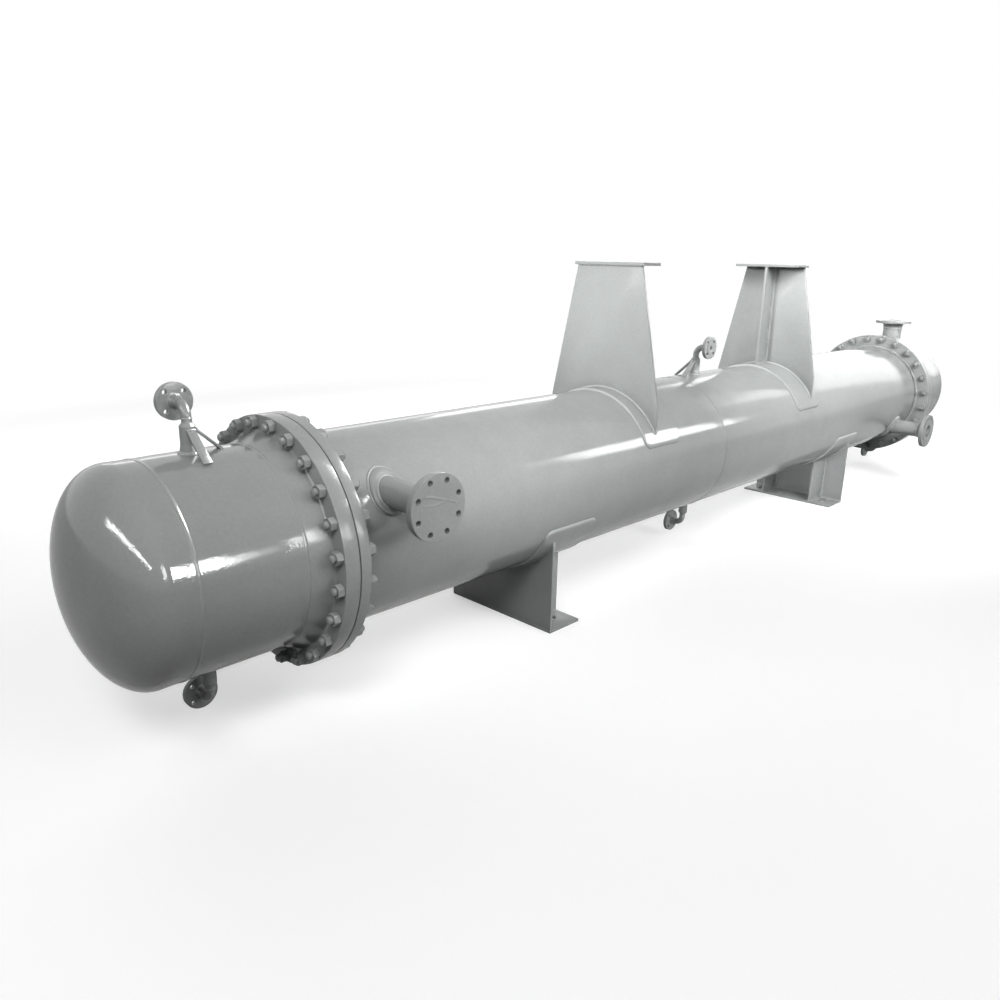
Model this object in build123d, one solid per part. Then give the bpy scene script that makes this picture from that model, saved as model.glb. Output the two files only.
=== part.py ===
# Horizontal shell and tube heat exchanger on two saddles, with two brackets on top.
# Millimetres. +X runs along the shell from the bonnet end to the channel end, +Z is up,
# and the two shell nozzles face -Y. The origin is on the underside of the front saddle's
# base plate, midway across it, straight below the shell axis.

import os
from math import atan2, cos, degrees, hypot, radians, sin

from build123d import *

os.makedirs("parts", exist_ok=True)

# Overall layout
axis_height = 534.0          # shell axis above the floor
saddle_pitch = 2470.0        # centre to centre of the two base plates
mid_x = saddle_pitch / 2     # middle of the shell
half_span = 2262.0           # middle of the shell to the middle of each girth gasket

# Shell, bonnet and channel barrels
shell_r = 310.0
shell_wall = 10.0
bore_r = shell_r - shell_wall
seam_from_mid = -181.0       # girth seam between the two shell courses

# Girth joints, measured outward from the middle of the gasket
gasket_thick = 4.0
flange_rim = 74.0            # rim beyond the shell
flange_thick = 48.0
hub_rise = 24.0              # root of the hub beyond the shell
hub_end = 112.0
tubesheet_thick = 34.0
bolts_to_rim = 22.0
bolt_count = 24
bolt_hole_r = 13.0
gasket_to_holes = 5.0
flange_r = shell_r + flange_rim
bolt_circle_r = flange_r - bolts_to_rim
gasket_r = bolt_circle_r - bolt_hole_r - gasket_to_holes
face_out = gasket_thick / 2
flange_back = face_out + flange_thick
tubesheet_back = face_out + tubesheet_thick

# Dished ends, measured outward from the middle of the gasket
front_seam = 420.0
rear_seam = 386.0
straight_flange = 62.0
head_depth = shell_r / 2     # two to one ellipse

# Side and top nozzles: pipe, flange and raised face sizes
small_pipe_r = 44.45
small_pipe_wall = 5.5
small_flange = dict(r=100.0, thick=24.0, bolt_r=80.0, hole_r=9.0, face_r=69.0, hub_r=56.0, height=58.0)
big_pipe_r = 57.15
big_pipe_wall = 6.0
big_flange = dict(r=110.0, thick=20.0, bolt_r=90.0, hole_r=9.0, face_r=79.0, hub_r=65.5, height=52.0)
nozzle_bolts = 8
raised_face = 2.0
weld_end = 8.0               # plain length at the foot of a pipe flange's hub
front_nozzle_in = 193.0      # in from the front gasket
front_nozzle_up = 167.0      # above the shell axis
front_nozzle_stand = 178.0   # face beyond the side of the shell
rear_nozzle_in = 264.0
rear_nozzle_down = 158.0
rear_nozzle_stand = 176.0
collar_rim = 20.0            # foot of the welded collar beyond the pipe
collar_rise = 14.0           # crest of the collar above the shell
collar_round = 11.0
channel_nozzle_out = 246.0
channel_nozzle_stand = 162.0

# Vents and drains
vent_out = 279.0             # from the girth gasket to the vent on the bonnet
channel_drain_out = 248.0
vent_pipe_r = 13.45
vent_bore_r = 10.5
boss_foot_r = 25.0
boss_foot_height = 4.0
boss_top_r = 21.5
boss_taper_height = 24.0
boss_height = 82.0
shoulder_height = 8.0
bend_r = 38.0
bend_height = 94.0           # foot of the bend above the shell
vent_flange = dict(r=52.5, thick=18.0, bolt_r=37.5, hole_r=7.0, face_r=29.0, hub_r=20.0, height=40.0)
vent_bolts = 4
brace_width = 25.0
brace_thick = 6.0
brace_run = 68.0
brace_rise = 62.0

# Saddles
base_x = 170.0
base_y = 542.0
base_thick = 12.0
plate_thick = 12.0           # webs and ribs of saddles and brackets
pad_thick = 8.0
saddle_pad_x = 282.0
saddle_pad_angle = 68.5      # each way from straight down
pad_corner = 30.0
saddle_rib_y = 148.0
slot_from_end = 75.0
slot_width = 26.0
slot_length = 60.0

# Brackets on top
bracket_face_from_mid = 719.0
bracket_height = 515.0       # top face above the shell
bracket_web_top_y = 161.0
bracket_web_inset = 40.0     # sides of the web in from the side of the pad
bracket_taper_drop = 56.0    # where the web stops widening, below the top of the pad
bracket_plate_x = 120.0
bracket_plate_lip = 12.0
bracket_plate_thick = 12.0
bracket_overhang = 9.0
bracket_pad_x = 240.0
bracket_pad_angle = 69.0     # each way from straight up

pad_r = shell_r + pad_thick
front_gasket_x = mid_x - half_span
rear_gasket_x = mid_x + half_span


def save(shape, name):
    """Raise a piece from the shell axis to its height above the floor and write it out."""
    export_step(Pos(0, 0, axis_height) * shape, f"parts/{name}.step")


def to_front(shape):
    """Put a piece drawn outward from a girth gasket at the bonnet end."""
    return Pos(front_gasket_x, 0, 0) * mirror(shape, about=Plane.YZ)


def to_rear(shape):
    """Put a piece drawn outward from a girth gasket at the channel end."""
    return Pos(rear_gasket_x, 0, 0) * shape


def turned(points):
    """Ring turned about the shell axis from (along, radius) corners."""
    face = make_face(Polyline(*points, close=True))
    return revolve(face, axis=Axis.X, revolution_arc=360)


def along_x(radius, length, start):
    """Round bar on the shell axis."""
    return Pos(start + length / 2, 0, 0) * Rot(0, 90, 0) * Cylinder(radius, length)


def upright(radius, low, high, x):
    """Round vertical bar."""
    return Pos(x, 0, (low + high) / 2) * Cylinder(radius, high - low)


def bolt_ring(count, ring_r, hole_r, low, high):
    """Bolt holes that straddle the centre lines, along +Z."""
    bar = Pos(0, 0, (low + high) / 2) * Cylinder(hole_r, high - low)
    start = 180 / count
    return [Rot(0, 0, start + 360 / count * i) * Pos(ring_r, 0, 0) * bar for i in range(count)]


def girth_holes(shape, low, high):
    """Cut the girth bolt holes through a ring on the shell axis."""
    ring = bolt_ring(bolt_count, bolt_circle_r, bolt_hole_r, low - 1, high + 1)
    return shape - [Rot(0, 90, 0) * bar for bar in ring]


def pipe_flange(size, pipe_r, bore, bolts):
    """Weld neck flange with its face at the origin looking along +Z."""
    thick = size["thick"]
    profile = [
        (bore, 0),
        (size["face_r"], 0),
        (size["face_r"], -raised_face),
        (size["r"], -raised_face),
        (size["r"], -thick),
        (size["hub_r"], -thick),
        (pipe_r, -size["height"] + weld_end),
        (pipe_r, -size["height"]),
        (bore, -size["height"]),
    ]
    face = make_face(Plane.XZ * Polyline(*profile, close=True))
    body = revolve(face, axis=Axis.Z, revolution_arc=360)
    return body - bolt_ring(bolts, size["bolt_r"], size["hole_r"], -thick - 1, 1)


def shell_block(radius):
    """Solid bar over the full length with both ends, for fitting pieces onto the shell."""
    low = front_gasket_x - front_seam
    return along_x(radius, rear_gasket_x + rear_seam - low, low)


def stub(radius, reach):
    """Solid bar on the shell axis, running the same way in each direction from x = 0."""
    return along_x(radius, 2 * reach, -reach)


def facing_side(x, z, reach):
    """Place for a nozzle face that looks along -Y."""
    return Pos(x, -reach, z) * Rot(90, 0, 0)


def curved_pad(length, half_angle, up, thick, corner):
    """Rounded plate rolled onto the shell, centred on x = 0."""
    ring = along_x(shell_r + thick, length, -length / 2) - along_x(shell_r, length + 2, -length / 2 - 1)
    half_y = (shell_r + thick) * sin(radians(half_angle))
    outline = extrude(RectangleRounded(length, 2 * half_y, corner), shell_r + 2 * thick)
    return ring & (outline if up else mirror(outline, about=Plane.XY))


# Girth flanges with hubs, and the parts of both end joints
girth_flange = turned([
    (face_out, bore_r),
    (face_out, flange_r),
    (flange_back, flange_r),
    (flange_back, shell_r + hub_rise),
    (hub_end, shell_r),
    (hub_end, bore_r),
])
girth_flange = girth_holes(girth_flange, face_out, flange_back)
gasket = turned([
    (-gasket_thick / 2, bore_r),
    (-gasket_thick / 2, gasket_r),
    (gasket_thick / 2, gasket_r),
    (gasket_thick / 2, bore_r),
])
tubesheet = along_x(flange_r, tubesheet_thick, -tubesheet_back)
tubesheet = girth_holes(tubesheet, -tubesheet_back, -face_out)
save(to_front(girth_flange), "front_bonnet_flange")
save(to_rear(girth_flange), "rear_channel_flange")
save(Compound(children=[to_front(gasket).solid(), to_rear(gasket).solid()]), "girth_gaskets")
save(to_front(tubesheet), "front_tubesheet")
save(to_rear(tubesheet), "rear_tubesheet")


def dished_end(seam):
    """Hollow elliptical end with its straight flange, outward along +X."""
    tangent = seam + straight_flange
    outer_tip = tangent + head_depth
    inner_depth = head_depth - shell_wall
    inner_tip = tangent + inner_depth
    profile = Curve() + [
        Line((seam, bore_r), (seam, shell_r)),
        Line((seam, shell_r), (tangent, shell_r)),
        EllipticalCenterArc((tangent, 0), head_depth, shell_r, start_angle=0, arc_size=90),
        Line((outer_tip, 0), (inner_tip, 0)),
        EllipticalCenterArc((tangent, 0), inner_depth, bore_r, start_angle=0, arc_size=90),
        Line((tangent, bore_r), (seam, bore_r)),
    ]
    return revolve(make_face(profile), axis=Axis.X, revolution_arc=360)


save(to_front(dished_end(front_seam)), "front_bonnet_head")
save(to_rear(dished_end(rear_seam)), "rear_channel_head")


def barrel(seam):
    """Bonnet or channel barrel between its flange hub and its dished end."""
    length = seam - hub_end
    return along_x(shell_r, length, hub_end) - along_x(bore_r, length + 2, hub_end - 1)


bonnet_barrel = barrel(front_seam)
bonnet_barrel -= upright(vent_bore_r, -pad_r, pad_r, vent_out)
save(to_front(bonnet_barrel), "front_bonnet_barrel")
channel_barrel = barrel(rear_seam)
channel_barrel -= upright(big_pipe_r - big_pipe_wall, 0, pad_r, channel_nozzle_out)
channel_barrel -= upright(vent_bore_r, -pad_r, 0, channel_drain_out)
save(to_rear(channel_barrel), "rear_channel_barrel")

# Shell courses with their openings
shell_low = front_gasket_x + tubesheet_back
shell_high = rear_gasket_x - tubesheet_back
seam_x = mid_x + seam_from_mid
front_nozzle_x = front_gasket_x + front_nozzle_in
rear_nozzle_x = rear_gasket_x - rear_nozzle_in
small_bore = small_pipe_r - small_pipe_wall


def course(low, high):
    """One rolled shell course."""
    return along_x(shell_r, high - low, low) - along_x(bore_r, high - low + 2, low - 1)


def side_bar(radius, x, z, start, end):
    """Round bar along -Y between two distances from the vertical plane."""
    return Pos(x, -(start + end) / 2, z) * Rot(90, 0, 0) * Cylinder(radius, end - start)


front_course = course(shell_low, seam_x)
front_course -= side_bar(small_bore, front_nozzle_x, front_nozzle_up, 0, shell_r)
save(front_course, "front_shell_course")
rear_course = course(seam_x, shell_high)
rear_course -= side_bar(small_bore, rear_nozzle_x, -rear_nozzle_down, 0, shell_r)
rear_course -= upright(vent_bore_r, -pad_r, pad_r, mid_x)
save(rear_course, "rear_shell_course")

# Shell nozzles, set onto the shell with a rounded collar of weld at the foot
full_shell = shell_block(shell_r)


def nozzle_collar(x, z, reach):
    """Rounded ring that follows the shell round the foot of a side nozzle."""
    ring = side_bar(small_pipe_r + collar_rim, x, z, 0, reach)
    ring &= shell_block(shell_r + collar_rise)
    ring -= full_shell
    rims = ring.edges().sort_by(SortBy.LENGTH)[-2:]
    return fillet(rims.sort_by(Axis.Y)[0], collar_round)


for label, nozzle_x, nozzle_z, reach in (
    ("front", front_nozzle_x, front_nozzle_up, shell_r + front_nozzle_stand),
    ("rear", rear_nozzle_x, -rear_nozzle_down, shell_r + rear_nozzle_stand),
):
    neck_end = reach - small_flange["height"]
    neck = side_bar(small_pipe_r, nozzle_x, nozzle_z, 0, neck_end) - full_shell
    neck += nozzle_collar(nozzle_x, nozzle_z, neck_end)
    neck -= side_bar(small_bore, nozzle_x, nozzle_z, -1, neck_end + 1)
    save(neck, f"shell_{label}_nozzle_neck")
    flange = pipe_flange(small_flange, small_pipe_r, small_bore, nozzle_bolts)
    save(facing_side(nozzle_x, nozzle_z, reach) * flange, f"shell_{label}_nozzle_flange")

# Channel nozzle on top
channel_nozzle_x = rear_gasket_x + channel_nozzle_out
big_bore = big_pipe_r - big_pipe_wall
channel_reach = shell_r + channel_nozzle_stand
neck_top = channel_reach - big_flange["height"]
channel_neck = upright(big_pipe_r, 0, neck_top, channel_nozzle_x)
channel_neck -= upright(big_bore, -1, neck_top + 1, channel_nozzle_x)
save(channel_neck - full_shell, "channel_top_nozzle_neck")
channel_flange = pipe_flange(big_flange, big_pipe_r, big_bore, nozzle_bolts)
channel_flange = Pos(channel_nozzle_x, 0, channel_reach) * channel_flange
save(channel_flange, "channel_top_nozzle_flange")


# Vents and drains: boss, bend and flange; the flange of a vent at x = 0 looks along +Y
def vent_tube():
    """Boss set onto the shell, running into a quarter bend towards +Y."""
    boss_top = shell_r + boss_height
    bend_start = shell_r + bend_height
    profile = [
        (vent_bore_r, bore_r),
        (boss_foot_r, bore_r),
        (boss_foot_r, shell_r + boss_foot_height),
        (boss_top_r, shell_r + boss_taper_height),
        (boss_top_r, boss_top - shoulder_height),
        (vent_pipe_r, boss_top),
        (vent_pipe_r, bend_start),
        (vent_bore_r, bend_start),
    ]
    boss = revolve(make_face(Plane.XZ * Polyline(*profile, close=True)), axis=Axis.Z, revolution_arc=360)
    boss -= stub(shell_r, 2 * boss_foot_r)
    ring = Pos(0, 0, bend_start) * (Circle(vent_pipe_r) - Circle(vent_bore_r))
    bend = revolve(ring, axis=Axis((0, bend_r, bend_start), (-1, 0, 0)), revolution_arc=90)
    return boss + bend


def vent_end_flange():
    """Small flange on the end of a vent's bend, looking along +Y."""
    body = pipe_flange(vent_flange, vent_pipe_r, vent_bore_r, vent_bolts)
    reach = bend_r + vent_flange["height"]
    return Pos(0, reach, shell_r + bend_height + bend_r) * Rot(-90, 0, 0) * body


def brace_pair():
    """Two flat bars from the boss down to the shell, along +X and along -Y."""
    slope = atan2(brace_rise, brace_run)
    into_boss = boss_top_r
    into_shell = brace_run / 2
    length = hypot(brace_run, brace_rise) + into_boss + into_shell
    shift = (into_shell - into_boss) / 2
    middle_x = boss_top_r + brace_run / 2 + shift * cos(slope)
    middle_z = shell_r + brace_rise / 2 - shift * sin(slope)
    bar = Pos(middle_x, 0, middle_z) * Rot(0, degrees(slope), 0) * Box(length, brace_width, brace_thick)
    bar -= upright(boss_top_r + 0.5, bore_r, shell_r + boss_height + into_boss, 0)
    turned_bar = Rot(0, 0, -90) * bar
    shell_bar = stub(shell_r, boss_top_r + 2 * brace_run)
    return [bar - shell_bar, turned_bar - shell_bar]


tube = vent_tube()
end_flange = vent_end_flange()
braces = brace_pair()
half_turn = Rot(0, 0, 180)
bonnet_vent_x = front_gasket_x - vent_out
channel_drain_x = rear_gasket_x + channel_drain_out


def save_vent(name, place, flipped=False):
    """Write a vent's or a drain's tube and flange at its place."""
    for label, shape in (("pipe", tube), ("flange", end_flange)):
        body = mirror(shape, about=Plane.XY) if flipped else shape
        save(place * body, f"{name}_{label}")


save_vent("bonnet_vent", Pos(bonnet_vent_x, 0, 0))
save_vent("bonnet_drain", Pos(bonnet_vent_x, 0, 0), flipped=True)
save_vent("shell_vent", Pos(mid_x, 0, 0) * half_turn)
save_vent("shell_drain", Pos(mid_x, 0, 0), flipped=True)
save_vent("channel_drain", Pos(channel_drain_x, 0, 0), flipped=True)
bonnet_braces = [(Pos(bonnet_vent_x, 0, 0) * b).solid() for b in braces]
shell_braces = [(Pos(mid_x, 0, 0) * half_turn * b).solid() for b in braces]
save(Compound(children=bonnet_braces), "bonnet_vent_braces")
save(Compound(children=shell_braces), "shell_vent_braces")


# Saddles, drawn for the front one with the web on the -X side
def base_plate():
    """Base plate with a slotted anchor hole at each end."""
    plate = Box(base_x, base_y, base_thick)
    slot = extrude(SlotOverall(slot_length, slot_width), base_thick + 2)
    slot = Pos(0, 0, -base_thick / 2 - 1) * slot
    slot_y = base_y / 2 - slot_from_end
    plate -= [Pos(0, slot_y, 0) * slot, Pos(0, -slot_y, 0) * slot]
    return Pos(0, 0, -axis_height + base_thick / 2) * plate


pad_block = stub(pad_r, base_x)
base_top = -axis_height + base_thick
web_low = Pos(-base_x / 2 + plate_thick / 2, 0, base_top / 2)
saddle_web = web_low * Box(plate_thick, base_y, -base_top) - pad_block
rib_x = base_x - plate_thick
saddle_rib = Pos(plate_thick / 2, -saddle_rib_y, base_top / 2) * Box(rib_x, plate_thick, -base_top)
saddle_rib -= pad_block
saddle_ribs = [saddle_rib, mirror(saddle_rib, about=Plane.XZ)]
saddle_pad = curved_pad(saddle_pad_x, saddle_pad_angle, False, pad_thick, pad_corner)
for label, where, turn in (("front", 0.0, 0), ("rear", saddle_pitch, 180)):
    place = Pos(where, 0, 0) * Rot(0, 0, turn)
    save(place * saddle_pad, f"{label}_saddle_pad")
    save(place * saddle_web, f"{label}_saddle_web")
    save(Compound(children=[(place * r).solid() for r in saddle_ribs]), f"{label}_saddle_ribs")
    save(place * base_plate(), f"{label}_saddle_base")

# Brackets, drawn for the front one with the outer face of its web at x = 0
bracket_top = shell_r + bracket_height
plate_low = bracket_top - bracket_plate_thick
web_side = pad_r - bracket_web_inset
taper_low = pad_r - bracket_taper_drop
web_outline = Polyline(
    (-bracket_web_top_y, plate_low),
    (bracket_web_top_y, plate_low),
    (web_side, taper_low),
    (web_side, 0),
    (-web_side, 0),
    (-web_side, taper_low),
    close=True,
)
long_pad_block = stub(pad_r, bracket_pad_x)
bracket_web = extrude(Plane.YZ * make_face(web_outline), plate_thick) - long_pad_block
bracket_rib_x = bracket_plate_x - bracket_overhang - plate_thick
rib_mid = plate_thick + bracket_rib_x / 2
bracket_rib = Pos(rib_mid, 0, plate_low / 2) * Box(bracket_rib_x, plate_thick, plate_low)
bracket_rib -= long_pad_block
plate_mid = bracket_plate_x / 2 - bracket_overhang
bracket_plate_y = 2 * (bracket_web_top_y + bracket_plate_lip)
top_plate = Box(bracket_plate_x, bracket_plate_y, bracket_plate_thick)
top_plate = Pos(plate_mid, 0, bracket_top - bracket_plate_thick / 2) * top_plate
bracket_pad = Pos(plate_mid, 0, 0) * curved_pad(bracket_pad_x, bracket_pad_angle, True, pad_thick, pad_corner)
front_place = Pos(mid_x - bracket_face_from_mid, 0, 0)
rear_place = Pos(mid_x + bracket_face_from_mid, 0, 0) * half_turn
for label, place in (("front", front_place), ("rear", rear_place)):
    save(place * bracket_web, f"{label}_bracket_web")
    save(place * bracket_pad, f"{label}_bracket_pad")
    save(place * top_plate, f"{label}_bracket_top_plate")
rib_pair = [(place * bracket_rib).solid() for place in (front_place, rear_place)]
save(Compound(children=rib_pair), "bracket_ribs")
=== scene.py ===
"""Visual model of a horizontal shell and tube heat exchanger on two saddles.

Metres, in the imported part's frame: +X runs along the shell from the bonnet end to the
channel end, +Z is up and both shell nozzles look along -Y. The origin lies on the floor
under the middle of the front saddle.
"""

import logging
import math
import random
from dataclasses import dataclass
from enum import Enum
from typing import Iterable, Sequence

import bmesh
import bpy
from mathutils import Matrix, Vector, noise

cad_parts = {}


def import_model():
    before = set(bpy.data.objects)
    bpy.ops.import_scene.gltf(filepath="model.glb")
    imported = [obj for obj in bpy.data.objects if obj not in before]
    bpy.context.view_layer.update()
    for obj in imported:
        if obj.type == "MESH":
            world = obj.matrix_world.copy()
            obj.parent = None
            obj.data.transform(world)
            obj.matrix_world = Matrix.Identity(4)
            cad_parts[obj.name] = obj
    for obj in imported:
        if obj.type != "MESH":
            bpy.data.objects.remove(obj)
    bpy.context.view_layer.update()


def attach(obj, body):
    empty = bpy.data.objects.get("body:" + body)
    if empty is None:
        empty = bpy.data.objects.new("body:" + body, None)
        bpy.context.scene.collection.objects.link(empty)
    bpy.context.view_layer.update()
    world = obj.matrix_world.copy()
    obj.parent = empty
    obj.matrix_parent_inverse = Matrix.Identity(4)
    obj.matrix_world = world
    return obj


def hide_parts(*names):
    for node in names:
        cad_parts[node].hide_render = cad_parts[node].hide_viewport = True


log = logging.getLogger("exchanger")

Socket = bpy.types.NodeSocket
Pair = tuple[float, float]
Triple = tuple[float, float, float]
Profile = Sequence[Pair]
Rows = Sequence[Sequence[Vector]]

X = Vector((1, 0, 0))
Y = Vector((0, 1, 0))
Z = Vector((0, 0, 1))

MERGE = 2e-6  # points closer than this become one
WELD_STEP = 0.002  # distance between the ribs of a weld bead
ROOT_LIFT = 0.0008  # how far a fillet weld's root stands off its corner
ROUND = 192  # sides of the large turned pieces
GREY: Triple = (0.305, 0.318, 0.314)
DUST: Triple = (0.52, 0.51, 0.48)
WHITE = (1.0, 1.0, 1.0, 1.0)
ENAMEL_IOR = 1.49


class Slot(Enum):
    """Names of the material slots."""

    SHELL = "shell_paint"
    END = "end_paint"
    FLANGE = "flange_paint"
    FITTING = "fitting_paint"
    STEEL = "saddle_paint"
    GASKET = "gasket_black"


class Outward(Enum):
    """Which way a girth joint faces along X."""

    BONNET = -1
    CHANNEL = 1


# Finishes


class Graph:
    """Short hand for building a node tree."""

    def __init__(self, tree: bpy.types.NodeTree) -> None:
        """Start from an empty tree."""
        self.tree = tree
        tree.nodes.clear()

    def plug(self, socket: Socket, value: object) -> None:
        """Link an input to a socket, or set its value.

        Args:
            socket: the input.
            value: socket, number or tuple.
        """
        if isinstance(value, Socket):
            self.tree.links.new(value, socket)
        else:
            socket.default_value = value

    def node(self, kind: str, **inputs: object) -> bpy.types.Node:
        """Add a node and fill in its sockets.

        Args:
            kind: node type without the leading ShaderNode.
            inputs: socket values or links, or properties of the node. An underscore in a
                socket's name stands for a space, and i0, i1 and so on count the sockets.

        Returns:
            The new node.
        """
        made = self.tree.nodes.new("ShaderNode" + kind)
        for key, value in inputs.items():
            name = key.replace("_", " ")
            if key[0] == "i" and key[1:].isdigit():
                self.plug(made.inputs[int(key[1:])], value)
            elif hasattr(made, key) and name not in made.inputs:
                setattr(made, key, value)
            else:
                self.plug(made.inputs[name], value)
        return made

    def math(self, operation: str, *values: object) -> Socket:
        """Result of a Math node on one to three numbers or sockets."""
        named = {f"i{index}": value for index, value in enumerate(values)}
        return self.node("Math", operation=operation, **named).outputs[0]

    def noise(self, where: Socket, scale: float, detail: float = 2.0, rough: float = 0.5) -> Socket:
        """Cloudy noise between about 0.2 and 0.8, with so many features per metre."""
        return self.node("TexNoise", Vector=where, Scale=scale, Detail=detail, Roughness=rough).outputs[0]

    def between(self, value: Socket, low: float, high: float, start: float = 0.0, end: float = 1.0) -> Socket:
        """Rescale a value from low and high to start and end, clamped at both."""
        made = self.node("MapRange", Value=value, From_Min=low, From_Max=high, To_Min=start, To_Max=end)
        return made.outputs[0]

    def blend(self, amount: object, first: object, second: object, mode: str = "MIX") -> Socket:
        """Mix of two colours or sockets, the first at an amount of 0 and the second at 1."""
        first, second = ((*end, 1.0) if isinstance(end, tuple) else end for end in (first, second))
        return self.node("Mix", data_type="RGBA", blend_type=mode, i0=amount, i6=first, i7=second).outputs[2]

    def bump(self, height: Socket, depth: float, under: Socket | None = None) -> Socket:
        """Bump of a real depth, on top of another one.

        Args:
            height: socket between 0 and 1.
            depth: metres between 0 and 1.
            under: normal that it is added to.

        Returns:
            The bumped normal's socket.
        """
        made = self.node("Bump", Height=height, Distance=depth)
        if under is not None:
            self.plug(made.inputs["Normal"], under)
        return made.outputs[0]

    def seen(self) -> Socket:
        """Tell rays that show the background from rays that light things.

        Returns:
            Socket with one for the former and nought for the latter.
        """
        path = self.node("LightPath")
        sight = self.math("MAXIMUM", path.outputs["Is Camera Ray"], path.outputs["Is Glossy Ray"])
        return self.math("MAXIMUM", sight, path.outputs["Is Transmission Ray"])


@dataclass(frozen=True)
class Finish:
    """What covers a piece.

    Attributes:
        name: material name.
        colour: linear base colour.
    """

    name: str
    colour: Triple = GREY

    def material(self) -> bpy.types.Material:
        """Build the node tree once and reuse it.

        Returns:
            The material.
        """
        known = bpy.data.materials.get(self.name)
        if known is not None:
            return known
        made = bpy.data.materials.new(self.name)
        made.use_nodes = True
        made.diffuse_color = (*self.colour, 1.0)
        graph = Graph(made.node_tree)
        shader = self.shader(graph, graph.node("TexCoord").outputs["Object"])
        graph.node("OutputMaterial", Surface=shader)
        return made

    def shader(self, graph: Graph, where: Socket) -> Socket:
        """Shader of the finish, at coordinates in metres."""
        raise NotImplementedError


@dataclass(frozen=True)
class Paint(Finish):
    """Sprayed gloss enamel over steel.

    Attributes:
        roughness: middle of the roughness range.
        peel: depth of the orange peel.
        grain: features of the orange peel per metre.
        wave: depth of the slow unevenness of the plate.
        pitting: depth of the coarse texture left by rolling or casting.
        corner_shade: how far corners and joints darken.
        dust: how much dust lies on upward faces.
    """

    roughness: float = 0.09
    peel: float = 0.00010
    grain: float = 240.0
    wave: float = 0.0010
    pitting: float = 0.0
    # corner_shade: how far corners and joints are darkened where ambient occlusion finds them, as painted
    # shade.
    corner_shade: float = 0.35
    dust: float = 0.05

    def shader(self, graph: Graph, where: Socket) -> Socket:
        """Build the enamel.

        Args:
            graph: tree that takes the nodes.
            where: coordinates in metres.

        Returns:
            The shader's socket.
        """
        drift = graph.noise(where, 1.4, 3.0)
        cloud = graph.noise(where, 11.0, 6.0, 0.6)
        speck = graph.noise(where, 95.0, 4.0, 0.7)
        mist = graph.noise(where, 420.0, 3.0, 0.7)

        tone = graph.between(drift, 0.3, 0.7, 0.95, 1.04)
        for layer, low, high, start, end in ((cloud, 0.3, 0.7, -0.03, 0.03), (speck, 0.35, 0.65, 0.03, -0.04),
                                             (mist, 0.35, 0.65, -0.04, 0.04)):
            tone = graph.math("ADD", tone, graph.between(layer, low, high, start, end))
        shade = graph.node("CombineColor", Red=tone, Green=tone, Blue=tone).outputs[0]
        colour = graph.blend(1.0, self.colour, shade, "MULTIPLY")

        facing = graph.node("SeparateXYZ", Vector=graph.node("NewGeometry").outputs["Normal"]).outputs["Z"]
        upward, patchy = graph.between(facing, 0.1, 1.0), graph.between(cloud, 0.25, 0.75, 0.5, 1.0)
        powder = graph.math("MULTIPLY", upward, patchy)
        settled = graph.math("MULTIPLY", powder, self.dust)
        colour = graph.blend(settled, colour, DUST)
        # Painted shade: the colour turns towards a darker copy where ambient occlusion finds corners and
        # joints.
        corner = graph.node("AmbientOcclusion", samples=6, Distance=0.045).outputs["AO"]
        painted_shade = graph.between(corner, 0.35, 0.95, self.corner_shade, 0.0)
        colour = graph.blend(painted_shade, colour, tuple(0.42 * c for c in self.colour))

        gloss = graph.between(cloud, 0.3, 0.7, 0.75 * self.roughness, 1.3 * self.roughness)
        gloss = graph.math("ADD", gloss, graph.math("MULTIPLY", settled, 0.6))
        gloss = graph.math("ADD", gloss, graph.math("MULTIPLY", painted_shade, 0.3))

        normal = graph.bump(graph.noise(where, 5.5, 1.0), self.wave)
        if self.pitting:
            normal = graph.bump(graph.noise(where, 75.0, 3.0, 0.6), self.pitting, normal)
        normal = graph.bump(graph.noise(where, self.grain, 1.5), self.peel, normal)
        grit = graph.between(graph.noise(where, 140.0, 0.0), 0.74, 0.80)
        normal = graph.bump(grit, 0.00010, normal)
        return graph.node("BsdfPrincipled", Base_Color=colour, Roughness=gloss, Normal=normal,
                          IOR=ENAMEL_IOR).outputs[0]


@dataclass(frozen=True)
class Rubber(Finish):
    """Dull black sheet gasket.

    Attributes:
        worn: linear colour of its lighter grain.
        depth: depth of the grain.
    """

    colour: Triple = (0.018, 0.018, 0.019)
    worn: Triple = (0.045, 0.044, 0.042)
    depth: float = 0.0003

    def shader(self, graph: Graph, where: Socket) -> Socket:
        """Build the rubber.

        Args:
            graph: tree that takes the nodes.
            where: coordinates in metres.

        Returns:
            The shader's socket.
        """
        grain = graph.noise(where, 420.0, 4.0, 0.7)
        return graph.node("BsdfPrincipled", Base_Color=graph.blend(grain, self.colour, self.worn),
                          Normal=graph.bump(grain, self.depth),
                          Roughness=graph.between(grain, 0.3, 0.7, 0.75, 0.92)).outputs[0]


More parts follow.
